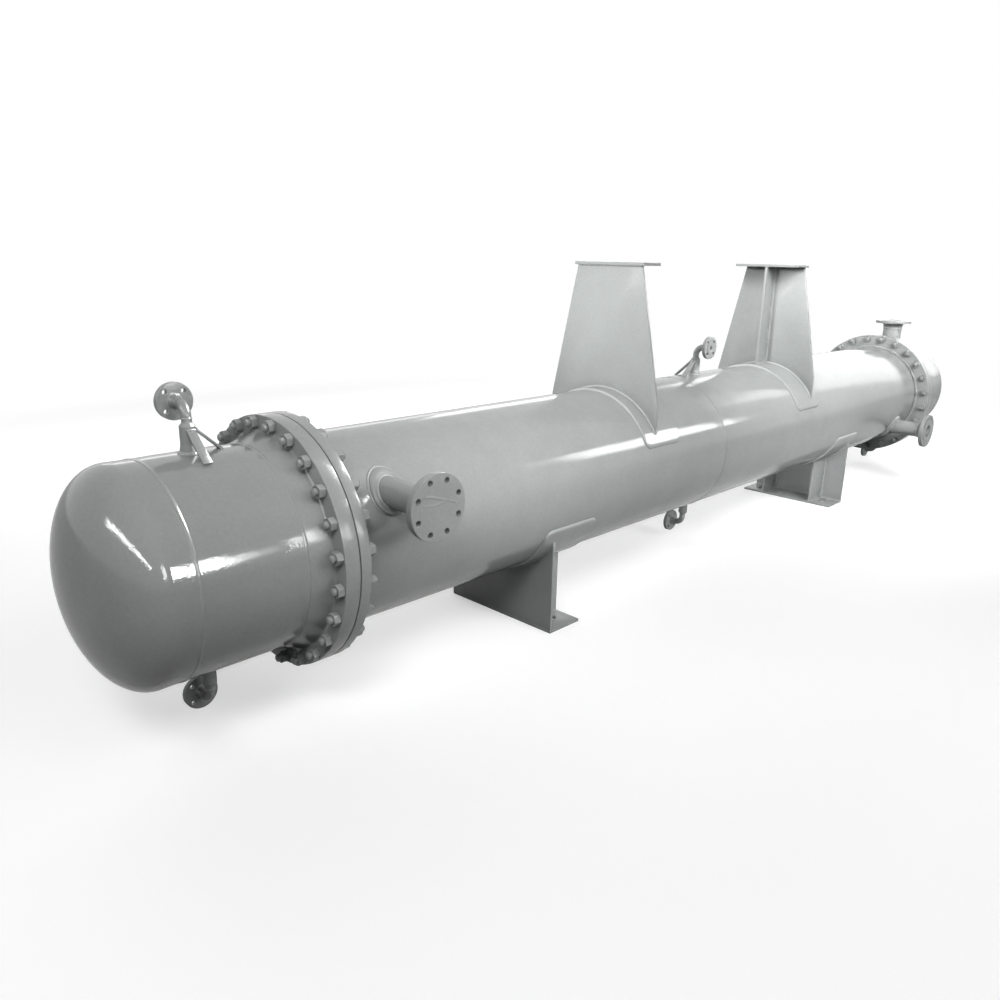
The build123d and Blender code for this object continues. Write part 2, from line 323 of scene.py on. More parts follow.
@dataclass(frozen=True)
class Pale(Finish):
    """Pale floor that glows a little and fades into the surroundings.

    Attributes:
        bounce: colour for the light that it throws back.
        glow: light of the near floor, in reflections and to the camera.
        far: light of the far floor, in reflections and to the camera.
        middle: where the near floor lies.
        fade: distances from there between which the near floor turns into the far one.
    """

    colour: Triple = (0.80, 0.80, 0.80)
    bounce: Triple = (0.03, 0.03, 0.03)
    glow: Pair = (0.06, 0.36)
    far: Pair = (0.45, 1.0)
    middle: Triple = (1.2, 0.0, 0.0)
    fade: Pair = (2.4, 6.0)

    def shader(self, graph: Graph, where: Socket) -> Socket:
        """Build the floor.

        Args:
            graph: tree that takes the nodes.
            where: coordinates in metres.

        Returns:
            The shader's socket.
        """
        away = graph.node("VectorMath", operation="SUBTRACT", i0=where, i1=self.middle).outputs[0]
        reach = graph.node("VectorMath", operation="LENGTH", i0=away).outputs["Value"]
        shown, dull = (graph.node("BsdfDiffuse", Color=(*colour, 1.0)).outputs[0]
                       for colour in (self.colour, self.bounce))
        near = graph.node("AddShader", i0=shown, i1=self.light(graph, self.glow)).outputs[0]
        sight = graph.node("MixShader", i0=graph.between(reach, *self.fade), i1=near,
                           i2=self.light(graph, self.far)).outputs[0]
        return graph.node("MixShader", i0=graph.seen(), i1=dull, i2=sight).outputs[0]

    @staticmethod
    def light(graph: Graph, levels: Pair) -> Socket:
        """White glow with one level in reflections and another to the camera."""
        level = graph.between(graph.node("LightPath").outputs["Is Camera Ray"], 0.0, 1.0, *levels)
        return graph.node("Emission", Color=WHITE, Strength=level).outputs[0]


SHELL_PAINT = Paint("shell_enamel", wave=0.0012)
END_PAINT = Paint("end_enamel", (0.293, 0.307, 0.301), 0.062, peel=0.00022, grain=150.0, wave=0.0009)
FLANGE_PAINT = Paint("flange_enamel", (0.298, 0.311, 0.306), 0.14, wave=0.0003, pitting=0.00005)
NUT_PAINT = Paint("nut_enamel", (0.294, 0.307, 0.303), 0.14, wave=0.0, pitting=0.00018, corner_shade=0.6)
FITTING_PAINT = Paint("fitting_enamel", roughness=0.17, wave=0.0002, pitting=0.00010, corner_shade=0.5)
STEEL_PAINT = Paint("plate_enamel", roughness=0.20, wave=0.0009, pitting=0.00006)
PAD_PAINT = Paint("pad_enamel", wave=0.0005)
# Lighter than the plate paint: painted highlight on the weld beads.
WELD_PAINT = Paint("weld_enamel", (0.360, 0.378, 0.368), 0.18, 0.00005, wave=0.0, pitting=0.00025, corner_shade=0.15)
SEAM_PAINT = Paint("seam_enamel", (0.300, 0.315, 0.308), 0.19, wave=0.0, pitting=0.00010, corner_shade=0.10)
GASKET_SHEET = Rubber("gasket_sheet")
FLOOR = Pale("floor_pale")


# Shapes


def frame(origin: Vector, along: Vector, side: Vector) -> Matrix:
    """Local frame at origin whose Z runs along and whose X points to side."""
    return Matrix.Translation(origin) @ Matrix((side, along.cross(side), along)).transposed().to_4x4()


def turns(count: int) -> list[float]:
    """Angles of a full turn in so many equal steps, in radians."""
    return [math.tau * i / count for i in range(count)]


def polar(radius: float, turn: float, height: float = 0.0) -> Vector:
    """Point at a radius and an angle about Z."""
    return Vector((radius * math.cos(turn), radius * math.sin(turn), height))


def rectangle(left: float, low: float, right: float, high: float) -> list[Pair]:
    """Corners of a rectangle, anticlockwise."""
    return [(left, low), (right, low), (right, high), (left, high)]


def spaced(start: Vector, end: Vector, step: float = WELD_STEP) -> list[Vector]:
    """Points along a straight line about a step apart, both ends included."""
    count = max(2, round((end - start).length / step))
    return [start.lerp(end, i / count) for i in range(count + 1)]


def quarter(radius: float, base: float, depth: float, steps: int) -> list[Pair]:
    """Quarter of an ellipse as (radius, height) points, from its rim to just short of its tip."""
    angles = [math.pi / 2 * i / steps for i in range(steps)]
    return [(radius * math.cos(a), base + depth * math.sin(a)) for a in angles]


def rounded(corners: Sequence[Triple], steps: int = 4, closed: bool = True) -> list[Pair]:
    """Round off the corners of a profile.

    Args:
        corners: first, second coordinate and rounding of each corner.
        steps: points on each rounding beyond the first.
        closed: whether the last corner runs on to the first.

    Returns:
        The profile's points.
    """
    count = len(corners)
    made: list[Pair] = []
    for index, (u, v, size) in enumerate(corners):
        here = Vector((u, v))
        if size <= 0 or (not closed and index in (0, count - 1)):
            made.append((u, v))
            continue
        before = Vector(corners[index - 1][:2]) - here
        after = Vector(corners[(index + 1) % count][:2]) - here
        start = here + before.normalized() * min(size, before.length * 0.49)
        end = here + after.normalized() * min(size, after.length * 0.49)
        for step in range(steps + 1):
            t = step / steps
            spot = start * (1 - t) ** 2 + here * 2 * t * (1 - t) + end * t ** 2
            made.append((spot.x, spot.y))
    return made


def show(name: str, data: bpy.types.ID) -> bpy.types.Object:
    """Put something into the scene.

    Args:
        name: object name.
        data: mesh, lamp or camera.

    Returns:
        The object.
    """
    made = bpy.data.objects.new(name, data)
    bpy.context.scene.collection.objects.link(made)
    return made


class Form:
    """Points and faces of one piece, gathered from simple shapes."""

    def __init__(self) -> None:
        """Start empty."""
        self.points: list[Vector] = []
        self.faces: list[list[int]] = []

    def grid(self, rows: Rows, wrap_rows: bool = False) -> "Form":
        """Skin a net of points whose rows each close on themselves.

        Args:
            rows: equally long rows of points.
            wrap_rows: join the last row to the first.

        Returns:
            The form itself.
        """
        base, width, count = len(self.points), len(rows[0]), len(rows)
        for row in rows:
            self.points.extend(row)
        for i in range(count if wrap_rows else count - 1):
            low, high = base + i * width, base + (i + 1) % count * width
            for j in range(width):
                k = (j + 1) % width
                self.faces.append([low + j, low + k, high + k, high + j])
        return self

    def lathe(self, profile: Profile, place: Matrix, sides: int = ROUND, wrap: bool = True) -> "Form":
        """Turn a profile about the local Z axis.

        Args:
            profile: (radius, height) points.
            place: local frame.
            sides: steps round the axis.
            wrap: close the profile on itself.

        Returns:
            The form itself.
        """
        return self.grid([[place @ polar(r, t, h) for t in turns(sides)] for r, h in profile], wrap)

    def slab(self, outline: Profile, thick: float, place: Matrix) -> "Form":
        """Flat plate between local z = 0 and z = thick.

        Args:
            outline: corners in the local XY plane.
            thick: plate thickness.
            place: local frame.

        Returns:
            The form itself.
        """
        base, count = len(self.points), len(outline)
        for height in (0.0, thick):
            self.points.extend(place @ Vector((u, v, height)) for u, v in outline)
        self.faces.append([base + i for i in reversed(range(count))])
        self.faces.append([base + count + i for i in range(count)])
        for i in range(count):
            j = (i + 1) % count
            self.faces.append([base + i, base + j, base + count + j, base + count + i])
        return self

    def mesh(self, name: str, bevel: float = 0.0) -> bpy.types.Mesh:
        """Turn the form into a clean mesh.

        Args:
            name: mesh name.
            bevel: width taken off hard edges.

        Returns:
            The mesh.
        """
        work = bmesh.new()
        verts = [work.verts.new(p) for p in self.points]
        for face in self.faces:
            work.faces.new([verts[i] for i in face])
        bmesh.ops.remove_doubles(work, verts=work.verts, dist=MERGE)
        bmesh.ops.recalc_face_normals(work, faces=work.faces)
        if bevel > 0:
            hard = [e for e in work.edges if e.is_manifold and e.calc_face_angle(0.0) > 0.6]
            bmesh.ops.bevel(work, geom=hard, offset=bevel, segments=2, profile=0.6, affect="EDGES",
                            clamp_overlap=True)
        made = bpy.data.meshes.new(name)
        work.to_mesh(made)
        work.free()
        return made

    def carve(self, made: bpy.types.Object) -> None:
        """Take the form out of an object.

        Args:
            made: the object.
        """
        tool = show(made.name + "_tool", self.mesh(made.name + "_tool"))
        step = made.modifiers.new("cut", "BOOLEAN")
        step.operation, step.solver, step.object = "DIFFERENCE", "EXACT", tool
        graph = bpy.context.evaluated_depsgraph_get()
        result = bpy.data.meshes.new_from_object(made.evaluated_get(graph))
        made.modifiers.clear()
        made.data = result
        bpy.data.objects.remove(tool)

    def piece(self, name: str, finish: Finish, slot: Slot, nodes: Iterable[str] = (), bevel: float = 0.0,
              cut: "Form | None" = None, crease: float = 38.0) -> bpy.types.Object:
        """Make an object of the form, dress it and hang it on the part.

        Args:
            name: object name.
            finish: its material.
            slot: slot that the finish belongs to; not used.
            nodes: CAD nodes that it stands for.
            bevel: width taken off hard edges.
            cut: form taken out of it.
            crease: edges sharper than this many degrees stay crisp.

        Returns:
            The object.
        """
        made = show(name, self.mesh(name, bevel))
        if cut is not None:
            cut.carve(made)
        made.data.materials.clear()
        made.data.materials.append(finish.material())
        made.data.shade_smooth()
        made.data.set_sharp_from_angle(angle=math.radians(crease))
        if nodes:
            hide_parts(*nodes)
        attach(made, "root")
        log.info("%s: %d faces", name, len(made.data.polygons))
        return made


@dataclass(frozen=True)
class Bead:
    """Rippled weld bead.

    Attributes:
        width: width of the bead.
        height: height of its crown above the joint.
        lap: length of one ripple.
    """

    width: float
    height: float
    lap: float = 0.0075

    def lay(self, form: Form, path: Sequence[Vector], lifts: Sequence[Vector], closed: bool,
            seed: float) -> None:
        """Run the bead along a path.

        Args:
            form: form that takes it.
            path: evenly spaced points on the joint.
            lifts: direction in which the bead stands up at each point.
            closed: whether the path runs on to its start.
            seed: picks the pattern of ripples.
        """
        count = len(path)
        step = (path[1] - path[0]).length
        rows = []
        for i, (spot, lift) in enumerate(zip(path, lifts)):
            before = path[i - 1] if closed or i else path[i]
            after = path[(i + 1) % count] if closed or i < count - 1 else path[i]
            side = (after - before).cross(lift).normalized()
            run = i * step
            slow = noise.noise(Vector((run * 22.0, seed * 7.3, 0.5)))
            quick = noise.noise(Vector((run * 90.0, seed * 3.1, 4.5)))
            lap = 0.5 + 0.5 * math.cos(math.tau * run / self.lap + 2.5 * slow)
            taper = 1.0 if closed else min(1.0, 0.35 + 0.13 * min(i, count - 1 - i))
            wide = 0.5 * self.width * (1.0 + 0.13 * slow + 0.05 * quick + 0.03 * lap) * taper
            tall = self.height * (0.82 + 0.16 * slow + 0.24 * lap) * taper
            centre = spot + side * (0.10 * self.width * quick)
            row = [centre + side * (wide * math.cos(a)) + lift * (tall * math.sin(a))
                   for a in (math.pi * k / 6 for k in range(7))]
            rows.append([*row, centre - lift * (0.35 * self.height + 0.0012)])
        if not closed:
            rows = [[path[0]] * 8, *rows, [path[-1]] * 8]
        form.grid(rows, closed)

    def hoop(self, form: Form, place: Matrix, radius: float, sides: int, seed: float) -> None:
        """Run the bead round a pipe.

        Args:
            form: form that takes it.
            place: frame at the middle of the joint, Z along the pipe.
            radius: radius of the joint.
            sides: steps round it.
            seed: picks the pattern of ripples.
        """
        path = [place @ polar(radius, t) for t in turns(sides)]
        self.lay(form, path, [(p - place.translation).normalized() for p in path], True, seed)

    def fillet(self, form: Form, place: Matrix, ends: tuple[Vector, Vector], normals: tuple[Vector, Vector],
               seed: float) -> None:
        """Run the bead straight along the corner between two plates.

        Args:
            form: form that takes it.
            place: frame in which the rest is given.
            ends: both ends of the corner.
            normals: normals of both plates.
            seed: picks the pattern of ripples.
        """
        turned = place.to_3x3()
        lift = (turned @ normals[0] + turned @ normals[1]).normalized()
        path = [p + lift * ROOT_LIFT for p in spaced(place @ ends[0], place @ ends[1])]
        self.lay(form, path, [lift] * len(path), False, seed)


SHEET_BEAD = Bead(0.014, 0.0055)
FILLET_BEAD = Bead(0.009, 0.00378)
WEB_BEAD = Bead(0.011, 0.0045)
PAD_BEAD = Bead(0.011, 0.0040)
NECK_BEAD = Bead(0.009, 0.0018)
ROOT_BEAD = Bead(0.013, 0.0050)
COLLAR_BEADS = (Bead(0.008, 0.0026), Bead(0.009, 0.0032))
BOSS_BEAD = Bead(0.011, 0.0045)
BEND_BEAD = Bead(0.006, 0.0012)
BRACE_BEAD = Bead(0.008, 0.0030)


# Vessel


@dataclass(frozen=True)
class Vessel:
    """Sizes shared by everything that sits on the shell.

    Attributes:
        radius: outside radius.
        bore: inside radius.
        axis_z: height of the axis above the floor.
        pad: thickness of the reinforcing pads.
        cap: width and height of a butt weld's cap.
        draw: how far the wall is drawn in at a butt weld.
        draw_reach: distance over which it is drawn in.
    """

    radius: float = 0.310
    bore: float = 0.300
    axis_z: float = 0.534
    pad: float = 0.008
    cap: Pair = (0.012, 0.0009)
    draw: float = 0.0009
    draw_reach: float = 0.045

    @property
    def padded(self) -> float:
        """Outside radius of the pads."""
        return self.radius + self.pad

    def out(self, angle: float) -> Vector:
        """Unit vector away from the axis, at radians from straight up towards -Y."""
        return Vector((0, -math.sin(angle), math.cos(angle)))

    def centre(self, x: float) -> Vector:
        """Point on the axis."""
        return Vector((x, 0, self.axis_z))

    def spot(self, x: float, angle: float, lift: float = 0.0) -> Vector:
        """Point at a height above the outside of the shell, with the angle as in out."""
        return self.centre(x) + self.out(angle) * (self.radius + lift)

    def ring_bead(self, form: Form, x: float, lean: Vector, seed: float) -> None:
        """Fillet weld all round the shell.

        Args:
            form: form that takes the bead.
            x: position along the shell.
            lean: direction of the plate that the bead also touches.
            seed: picks the pattern of ripples.
        """
        angles = turns(round(math.tau * self.radius / WELD_STEP))
        lifts = [(self.out(a) + lean).normalized() for a in angles]
        SHEET_BEAD.lay(form, [self.spot(x, a) for a in angles], lifts, True, seed)

    def ring_cap(self, form: Form, x: float, seed: float) -> None:
        """Low, nearly flat cap of a butt weld all round the shell.

        Args:
            form: form that takes the cap.
            x: middle of the weld along the shell.
            seed: picks its unevenness.
        """
        width, height = self.cap
        rows = []
        for angle in turns(round(math.tau * self.radius / 0.0025)):
            way = polar(1.0, angle)
            drift = 0.0005 * noise.noise(way * 9 + Z * seed)
            half = 0.5 * width * (1 + 0.06 * noise.noise(way * 35 + Z * seed * 2))
            tall = height * (0.9 + 0.35 * noise.noise(way * 55 + Z * seed * 3))
            fall = ((0.3, 0.86 * tall), (0.6, 0.45 * tall), (0.85, -0.0004), (1.0, -0.0009), (1.15, -0.0014))
            across = [*((-share, lift) for share, lift in reversed(fall)), (0.0, tall), *fall]
            rows.append([self.spot(x + drift + half * share, angle, lift) for share, lift in across])
        form.grid(rows, True)

    def wall(self, start: float, end: float, seams: Sequence[float], step: float = 0.03) -> list[Pair]:
        """Outer profile of a barrel, drawn in at its welds.

        Args:
            start: low end.
            end: high end.
            seams: places of the welds.
            step: distance between points of the plain stretches.

        Returns:
            (radius, place) points from start to end.
        """
        count = max(1, round((end - start) / step))
        places = {start + (end - start) * i / count for i in range(count + 1)}
        for beyond in (0.010, 0.022, 0.036, 0.055, 0.080):
            places |= {seam + side * beyond for seam in seams for side in (-1, 1)}
        made = []
        for place in sorted(p for p in places if start <= p <= end):
            gap = min(abs(place - seam) for seam in seams)
            made.append((self.radius - self.draw * math.exp(-(gap / self.draw_reach) ** 2), place))
        return made


VESSEL = Vessel()


@dataclass(frozen=True)
class Branch:
    """Round opening on the shell that a nozzle or a boss stands on.

    Attributes:
        x: position along the shell.
        away: direction of its axis, square to X.
        side: direction square to X and away.
        shift: how far its axis passes beside the shell's, along side.
    """

    x: float
    away: Vector
    side: Vector
    shift: float = 0.0

    def spot(self, reach: float, turn: float, lift: float) -> Vector:
        """Point over the shell at a distance from the branch's axis.

        Args:
            reach: distance from the branch's axis.
            turn: radians round the branch's axis.
            lift: height above the shell's surface.

        Returns:
            The point.
        """
        v = self.shift + reach * math.sin(turn)
        depth = math.sqrt(max((VESSEL.radius + lift) ** 2 - v * v, 1e-9))
        return VESSEL.centre(self.x + reach * math.cos(turn)) + self.side * v + self.away * depth

    def collar(self, form: Form, profile: Profile) -> None:
        """Ring of metal that follows the shell round the branch, from (reach, lift) points."""
        form.grid([[self.spot(reach, t, lift) for t in turns(120)] for reach, lift in profile], True)

    def bead(self, form: Form, size: Bead, reach: float, lift: float, seed: float,
             upright: float = 1.0) -> None:
        """Weld round the branch.

        Args:
            form: form that takes the bead.
            size: the bead.
            reach: distance of the bead from the branch's axis.
            lift: height of its root above the shell's surface.
            seed: picks the pattern of ripples.
            upright: how far it leans away from the shell rather than from the branch.
        """
        angles = turns(max(24, round(math.tau * reach / WELD_STEP)))
        path = [self.spot(reach, t, lift) for t in angles]
        lifts = []
        for t, spot in zip(angles, path):
            outward = X * math.cos(t) + self.side * math.sin(t)
            radial = (spot - VESSEL.centre(spot.x)).normalized()
            lifts.append((outward + radial * upright).normalized())
        size.lay(form, path, lifts, True, seed)

    def frame(self, reach: float) -> Matrix:
        """Local frame on the branch's axis at a distance from the shell's, Z away from the shell."""
        return frame(VESSEL.centre(self.x) + self.side * self.shift + self.away * reach, self.away, X)

    def drill(self, bore: float, inner: float = 0.10, outer: float = 0.50) -> Form:
        """Form of the hole through the wall, between two distances from the shell's axis."""
        return Form().lathe(rectangle(0.0, inner, bore, outer), self.frame(0.0), 48, False)


@dataclass(frozen=True)
class Shell:
    """The two rolled courses between the tubesheets.

    Attributes:
        low_x: start of the front course.
        high_x: end of the rear course.
        seam_x: girth seam between the courses.
        overlap: how far the end welds reach over the shell.
    """

    low_x: float = -0.991
    high_x: float = 3.461
    seam_x: float = 1.054
    overlap: float = 0.001

    def build(self, openings: Sequence[tuple[Branch, float]]) -> None:
        """Make both courses and their welds.

        Args:
            openings: branches whose bore goes through the wall, with the bore's radius.
        """
        axis = frame(VESSEL.centre(0.0), X, Z)
        for name, start, end in (("front", self.low_x, self.seam_x), ("rear", self.seam_x, self.high_x)):
            outer = VESSEL.wall(start, end, [self.seam_x])
            wall = Form().lathe([*outer, (VESSEL.bore, end), (VESSEL.bore, start)], axis)
            branch, bore = next(opening for opening in openings if start < opening[0].x < end)
            wall.piece(f"{name}_course", SHELL_PAINT, Slot.SHELL, [f"{name}_shell_course"],
                       cut=branch.drill(bore))
        welds = Form()
        VESSEL.ring_cap(welds, self.seam_x, 1)
        VESSEL.ring_bead(welds, self.low_x + self.overlap, X, 2)
        VESSEL.ring_bead(welds, self.high_x - self.overlap, -X, 3)
        welds.piece("shell_welds", SEAM_PAINT, Slot.SHELL)


@dataclass(frozen=True)
class Nut:
    """Hexagon nut with chamfered ends.

    Attributes:
        flats: width across flats.
        tall: height.
        hole: radius of its hole.
        sides: steps round it.
    """

    flats: float = 0.036
    tall: float = 0.0215
    hole: float = 0.0122
    sides: int = 48

    def add(self, form: Form, place: Matrix) -> None:
        """Set a nut down on local z = 0.

        Args:
            form: form that takes it.
            place: local frame.
        """
        half = self.flats / 2
        seat = half * 0.97
        columns = []
        for turn in turns(self.sides):
            flat = (math.degrees(turn) + 30) % 60 - 30
            hexagon = min(half / math.cos(math.radians(flat)), half * 1.135)
            slope = (hexagon - seat) * 0.577
            spots = ((self.hole, 0.0), (seat, 0.0), (hexagon, slope), (hexagon, self.tall - slope),
                     (seat, self.tall), (self.hole, self.tall - 0.0008))
            columns.append([place @ polar(reach, turn, height) for reach, height in spots])
        form.grid(list(zip(*columns)), True)


@dataclass(frozen=True)
class GirthJoint:
    """Flange, gasket and tubesheet of one end, with their studs.

    Attributes:
        name: bonnet or channel.
        where: front or rear.
        x: middle of the gasket.
        outward: the way to the end.
        rim: radius of flange and tubesheet.
        flange_back: back of the flange, outward.
        sheet_back: back of the tubesheet, inward.
        face: half of the gasket's thickness.
        gasket: outside radius of the gasket.
        hub_root: hub radius at the flange.
        hub_end: end of the hub, outward.
        hub_seam: middle of the weld beyond it, outward.
        bolt_r: bolt circle radius.
        studs: number of studs.
        stud_r: stud radius.
        pitch: length of one turn of the thread.
        nut: the nut at both ends of a stud.
    """

    name: str
    where: str
    x: float
    outward: Outward
    rim: float = 0.384
    flange_back: float = 0.050
    sheet_back: float = 0.036
    face: float = 0.002
    gasket: float = 0.344
    hub_root: float = 0.334
    hub_end: float = 0.112
    hub_seam: float = 0.116
    bolt_r: float = 0.362
    studs: int = 24
    stud_r: float = 0.012
    pitch: float = 0.003
    nut: Nut = Nut()

    def axis(self) -> Matrix:
        """Local frame at the gasket, Z outward."""
        return frame(VESSEL.centre(self.x), X * self.outward.value, Z)

    def build(self) -> None:
        """Make all the pieces of the joint."""
        axis, bore, rim, back = self.axis(), VESSEL.bore, self.rim, self.flange_back
        flange = rounded([(bore, self.face, 0), (rim, self.face, 0.0015), (rim, back, 0.0025),
                          (self.hub_root, back, 0.008), (VESSEL.radius, self.hub_end, 0.012),
                          (VESSEL.radius, self.hub_seam, 0), (bore, self.hub_end, 0)])
        Form().lathe(flange, axis).piece(f"{self.name}_ring", FLANGE_PAINT, Slot.FLANGE,
                                         [f"{self.where}_{self.name}_flange"])
        sheet = rounded([(0, -self.face, 0), (rim, -self.face, 0.0015), (rim, -self.sheet_back, 0.0025),
                         (0, -self.sheet_back, 0)], closed=False)
        Form().lathe(sheet, axis, wrap=False).piece(f"{self.where}_sheet", FLANGE_PAINT, Slot.FLANGE,
                                                    [f"{self.where}_tubesheet"])
        self.bolts(axis)

    def ring(self, form: Form) -> None:
        """Add the joint's gasket to a form."""
        form.lathe(rectangle(VESSEL.bore, -self.face, self.gasket, self.face), self.axis(), 160)

    def bolts(self, axis: Matrix) -> None:
        """Make the studs and the nuts on both sides.

        Args:
            axis: local frame of the joint.
        """
        chance = random.Random(self.name)
        studs, nuts = Form(), Form()
        for i in range(self.studs):
            place = axis @ Matrix.Translation(polar(self.bolt_r, math.tau * (i + 0.5) / self.studs))
            low = -self.sheet_back - self.nut.tall - chance.uniform(0.009, 0.013)
            high = self.flange_back + self.nut.tall + chance.uniform(0.010, 0.0125)
            studs.lathe(self.stud_profile(low, high), place, 20, False)
            for base, flip in ((self.flange_back, 0.0), (-self.sheet_back, math.pi)):
                seat = place @ Matrix.Translation((0, 0, base)) @ Matrix.Rotation(flip, 4, "X")
                self.nut.add(nuts, seat @ Matrix.Rotation(chance.uniform(0, math.tau), 4, "Z"))
        studs.piece(f"{self.name}_studs", NUT_PAINT, Slot.FLANGE, crease=50)
        nuts.piece(f"{self.name}_nuts", NUT_PAINT, Slot.FLANGE, crease=22)

    def stud_profile(self, low: float, high: float) -> list[Pair]:
        """Stud with paint filled threads at both ends and domed tips.

        Args:
            low: inner tip.
            high: outer tip.

        Returns:
            (radius, height) points from tip to tip.
        """
        r = self.stud_r
        tip = [(0.0, 0.0), (r * 0.45, 0.0003), (r * 0.78, 0.0012), (r * 0.92, 0.0028)]
        for start in (0.0034 + self.pitch * k for k in range(4)):
            for share, turn in ((0.985, 0.0), (0.985, 0.4), (0.93, 0.7)):
                tip.append((r * share, start + self.pitch * turn))
        first = [(radius, low + height) for radius, height in tip]
        last = [(radius, high - height) for radius, height in reversed(tip)]
        return first + [(r, -0.01), (r, 0.01)] + last


@dataclass(frozen=True)
class End:
    """Barrel and dished head beyond a girth joint.

    Attributes:
        joint: the girth joint it is welded to.
        seam: weld between barrel and head, outward from the gasket.
        straight: straight length of the head.
        depth: depth of the half ellipse.
    """

    joint: GirthJoint
    seam: float
    straight: float = 0.062
    depth: float = 0.155

    def build(self, opening: tuple[Branch, float] | None = None) -> None:
        """Make barrel, head and welds.

        Args:
            opening: branch whose bore goes through the barrel, with the bore's radius.
        """
        bore, axis, name = VESSEL.bore, self.joint.axis(), self.joint.name
        start, hub_seam, tangent = self.joint.hub_end, self.joint.hub_seam, self.seam + self.straight
        outer = VESSEL.wall(start, self.seam, [hub_seam, self.seam])
        wall = Form().lathe([*outer, (bore, self.seam), (bore, start)], axis)
        wall.piece(f"{name}_barrel", END_PAINT, Slot.END, [f"{self.joint.where}_{name}_barrel"],
                   cut=opening[0].drill(opening[1]) if opening else None)
        dome = VESSEL.wall(self.seam, tangent - 0.004, [self.seam], 0.012)
        dome += [*quarter(VESSEL.radius, tangent, self.depth, 56), (0.0, tangent + self.depth)]
        inner_depth = self.depth - VESSEL.radius + bore
        inner = [(0.0, tangent + inner_depth), *reversed(quarter(bore, tangent, inner_depth, 16)),
                 (bore, self.seam), dome[0]]
        Form().lathe(dome + inner, axis, wrap=False).piece(f"{name}_head", END_PAINT, Slot.END,
                                                           [f"{self.joint.where}_{name}_head"])
        welds = Form()
        sign = self.joint.outward.value
        VESSEL.ring_cap(welds, self.joint.x + sign * self.seam, 5 + sign)
        VESSEL.ring_cap(welds, self.joint.x + sign * hub_seam, 8 + sign)
        welds.piece(f"{name}_welds", SEAM_PAINT, Slot.END)


# Nozzles


@dataclass(frozen=True)
class PipeSize:
    """Pipe and its weld neck flange.

    Attributes:
        pipe: outside radius of the pipe.
        bore: inside radius of the pipe.
        flange: flange radius.
        thick: flange thickness with its raised face.
        bolt_r: bolt circle radius.
        hole: bolt hole radius.
        face: raised face radius.
        hub: hub radius at the flange.
        height: face to weld.
        holes: number of bolt holes.
        step: height of the raised face.
        edge: width taken off the holes' edges.
    """

    pipe: float
    bore: float
    flange: float
    thick: float
    bolt_r: float
    hole: float
    face: float
    hub: float
    height: float
    holes: int
    step: float = 0.002
    edge: float = 0.0008

    def body(self, place: Matrix, sides: int = 96, sunk: float = 0.0) -> tuple[Form, Form]:
        """Flange with its face at local z = 0, and the form of its bolt holes.

        Args:
            place: local frame, Z away from the pipe.
            sides: steps round it.
            sunk: how far the raised face stays below its full height.

        Returns:
            The flange and the form to cut out of it.
        """
        back, hole, edge, step = -self.thick, self.hole, self.edge, self.step
        corners = [(self.bore, -sunk, 0.001), (self.face, -sunk, 0.0006), (self.face, -step, 0),
                   (self.flange, -step, 0.0015), (self.flange, back, 0.0015), (self.hub, back, 0.004),
                   (self.hub - 0.001, back - 0.004, 0.004), (self.pipe + 0.0012, -self.height + 0.008, 0.006),
                   (self.pipe, -self.height, 0), (self.bore, -self.height, 0)]
        flange = Form().lathe(rounded(corners, 3), place, sides)
        tool = Form()
        wide = hole + edge
        cutter = [(0, 0.004), (wide + 0.006, 0.004), (wide, -step), (hole, -step - edge), (hole, back + edge),
                  (wide, back), (wide + 0.004, back - 0.004), (0, back - 0.004)]
        for i in range(self.holes):
            shift = Matrix.Translation(polar(self.bolt_r, math.tau * (i + 0.5) / self.holes))
            tool.lathe(cutter, place @ shift, 24, False)
        return flange, tool


DN80 = PipeSize(0.04445, 0.03895, 0.100, 0.024, 0.080, 0.009, 0.069, 0.056, 0.058, 8)
DN100 = PipeSize(0.05715, 0.05115, 0.110, 0.020, 0.090, 0.009, 0.079, 0.0655, 0.052, 8)
DN20 = PipeSize(0.01345, 0.0105, 0.0525, 0.018, 0.0375, 0.007, 0.029, 0.020, 0.040, 4)


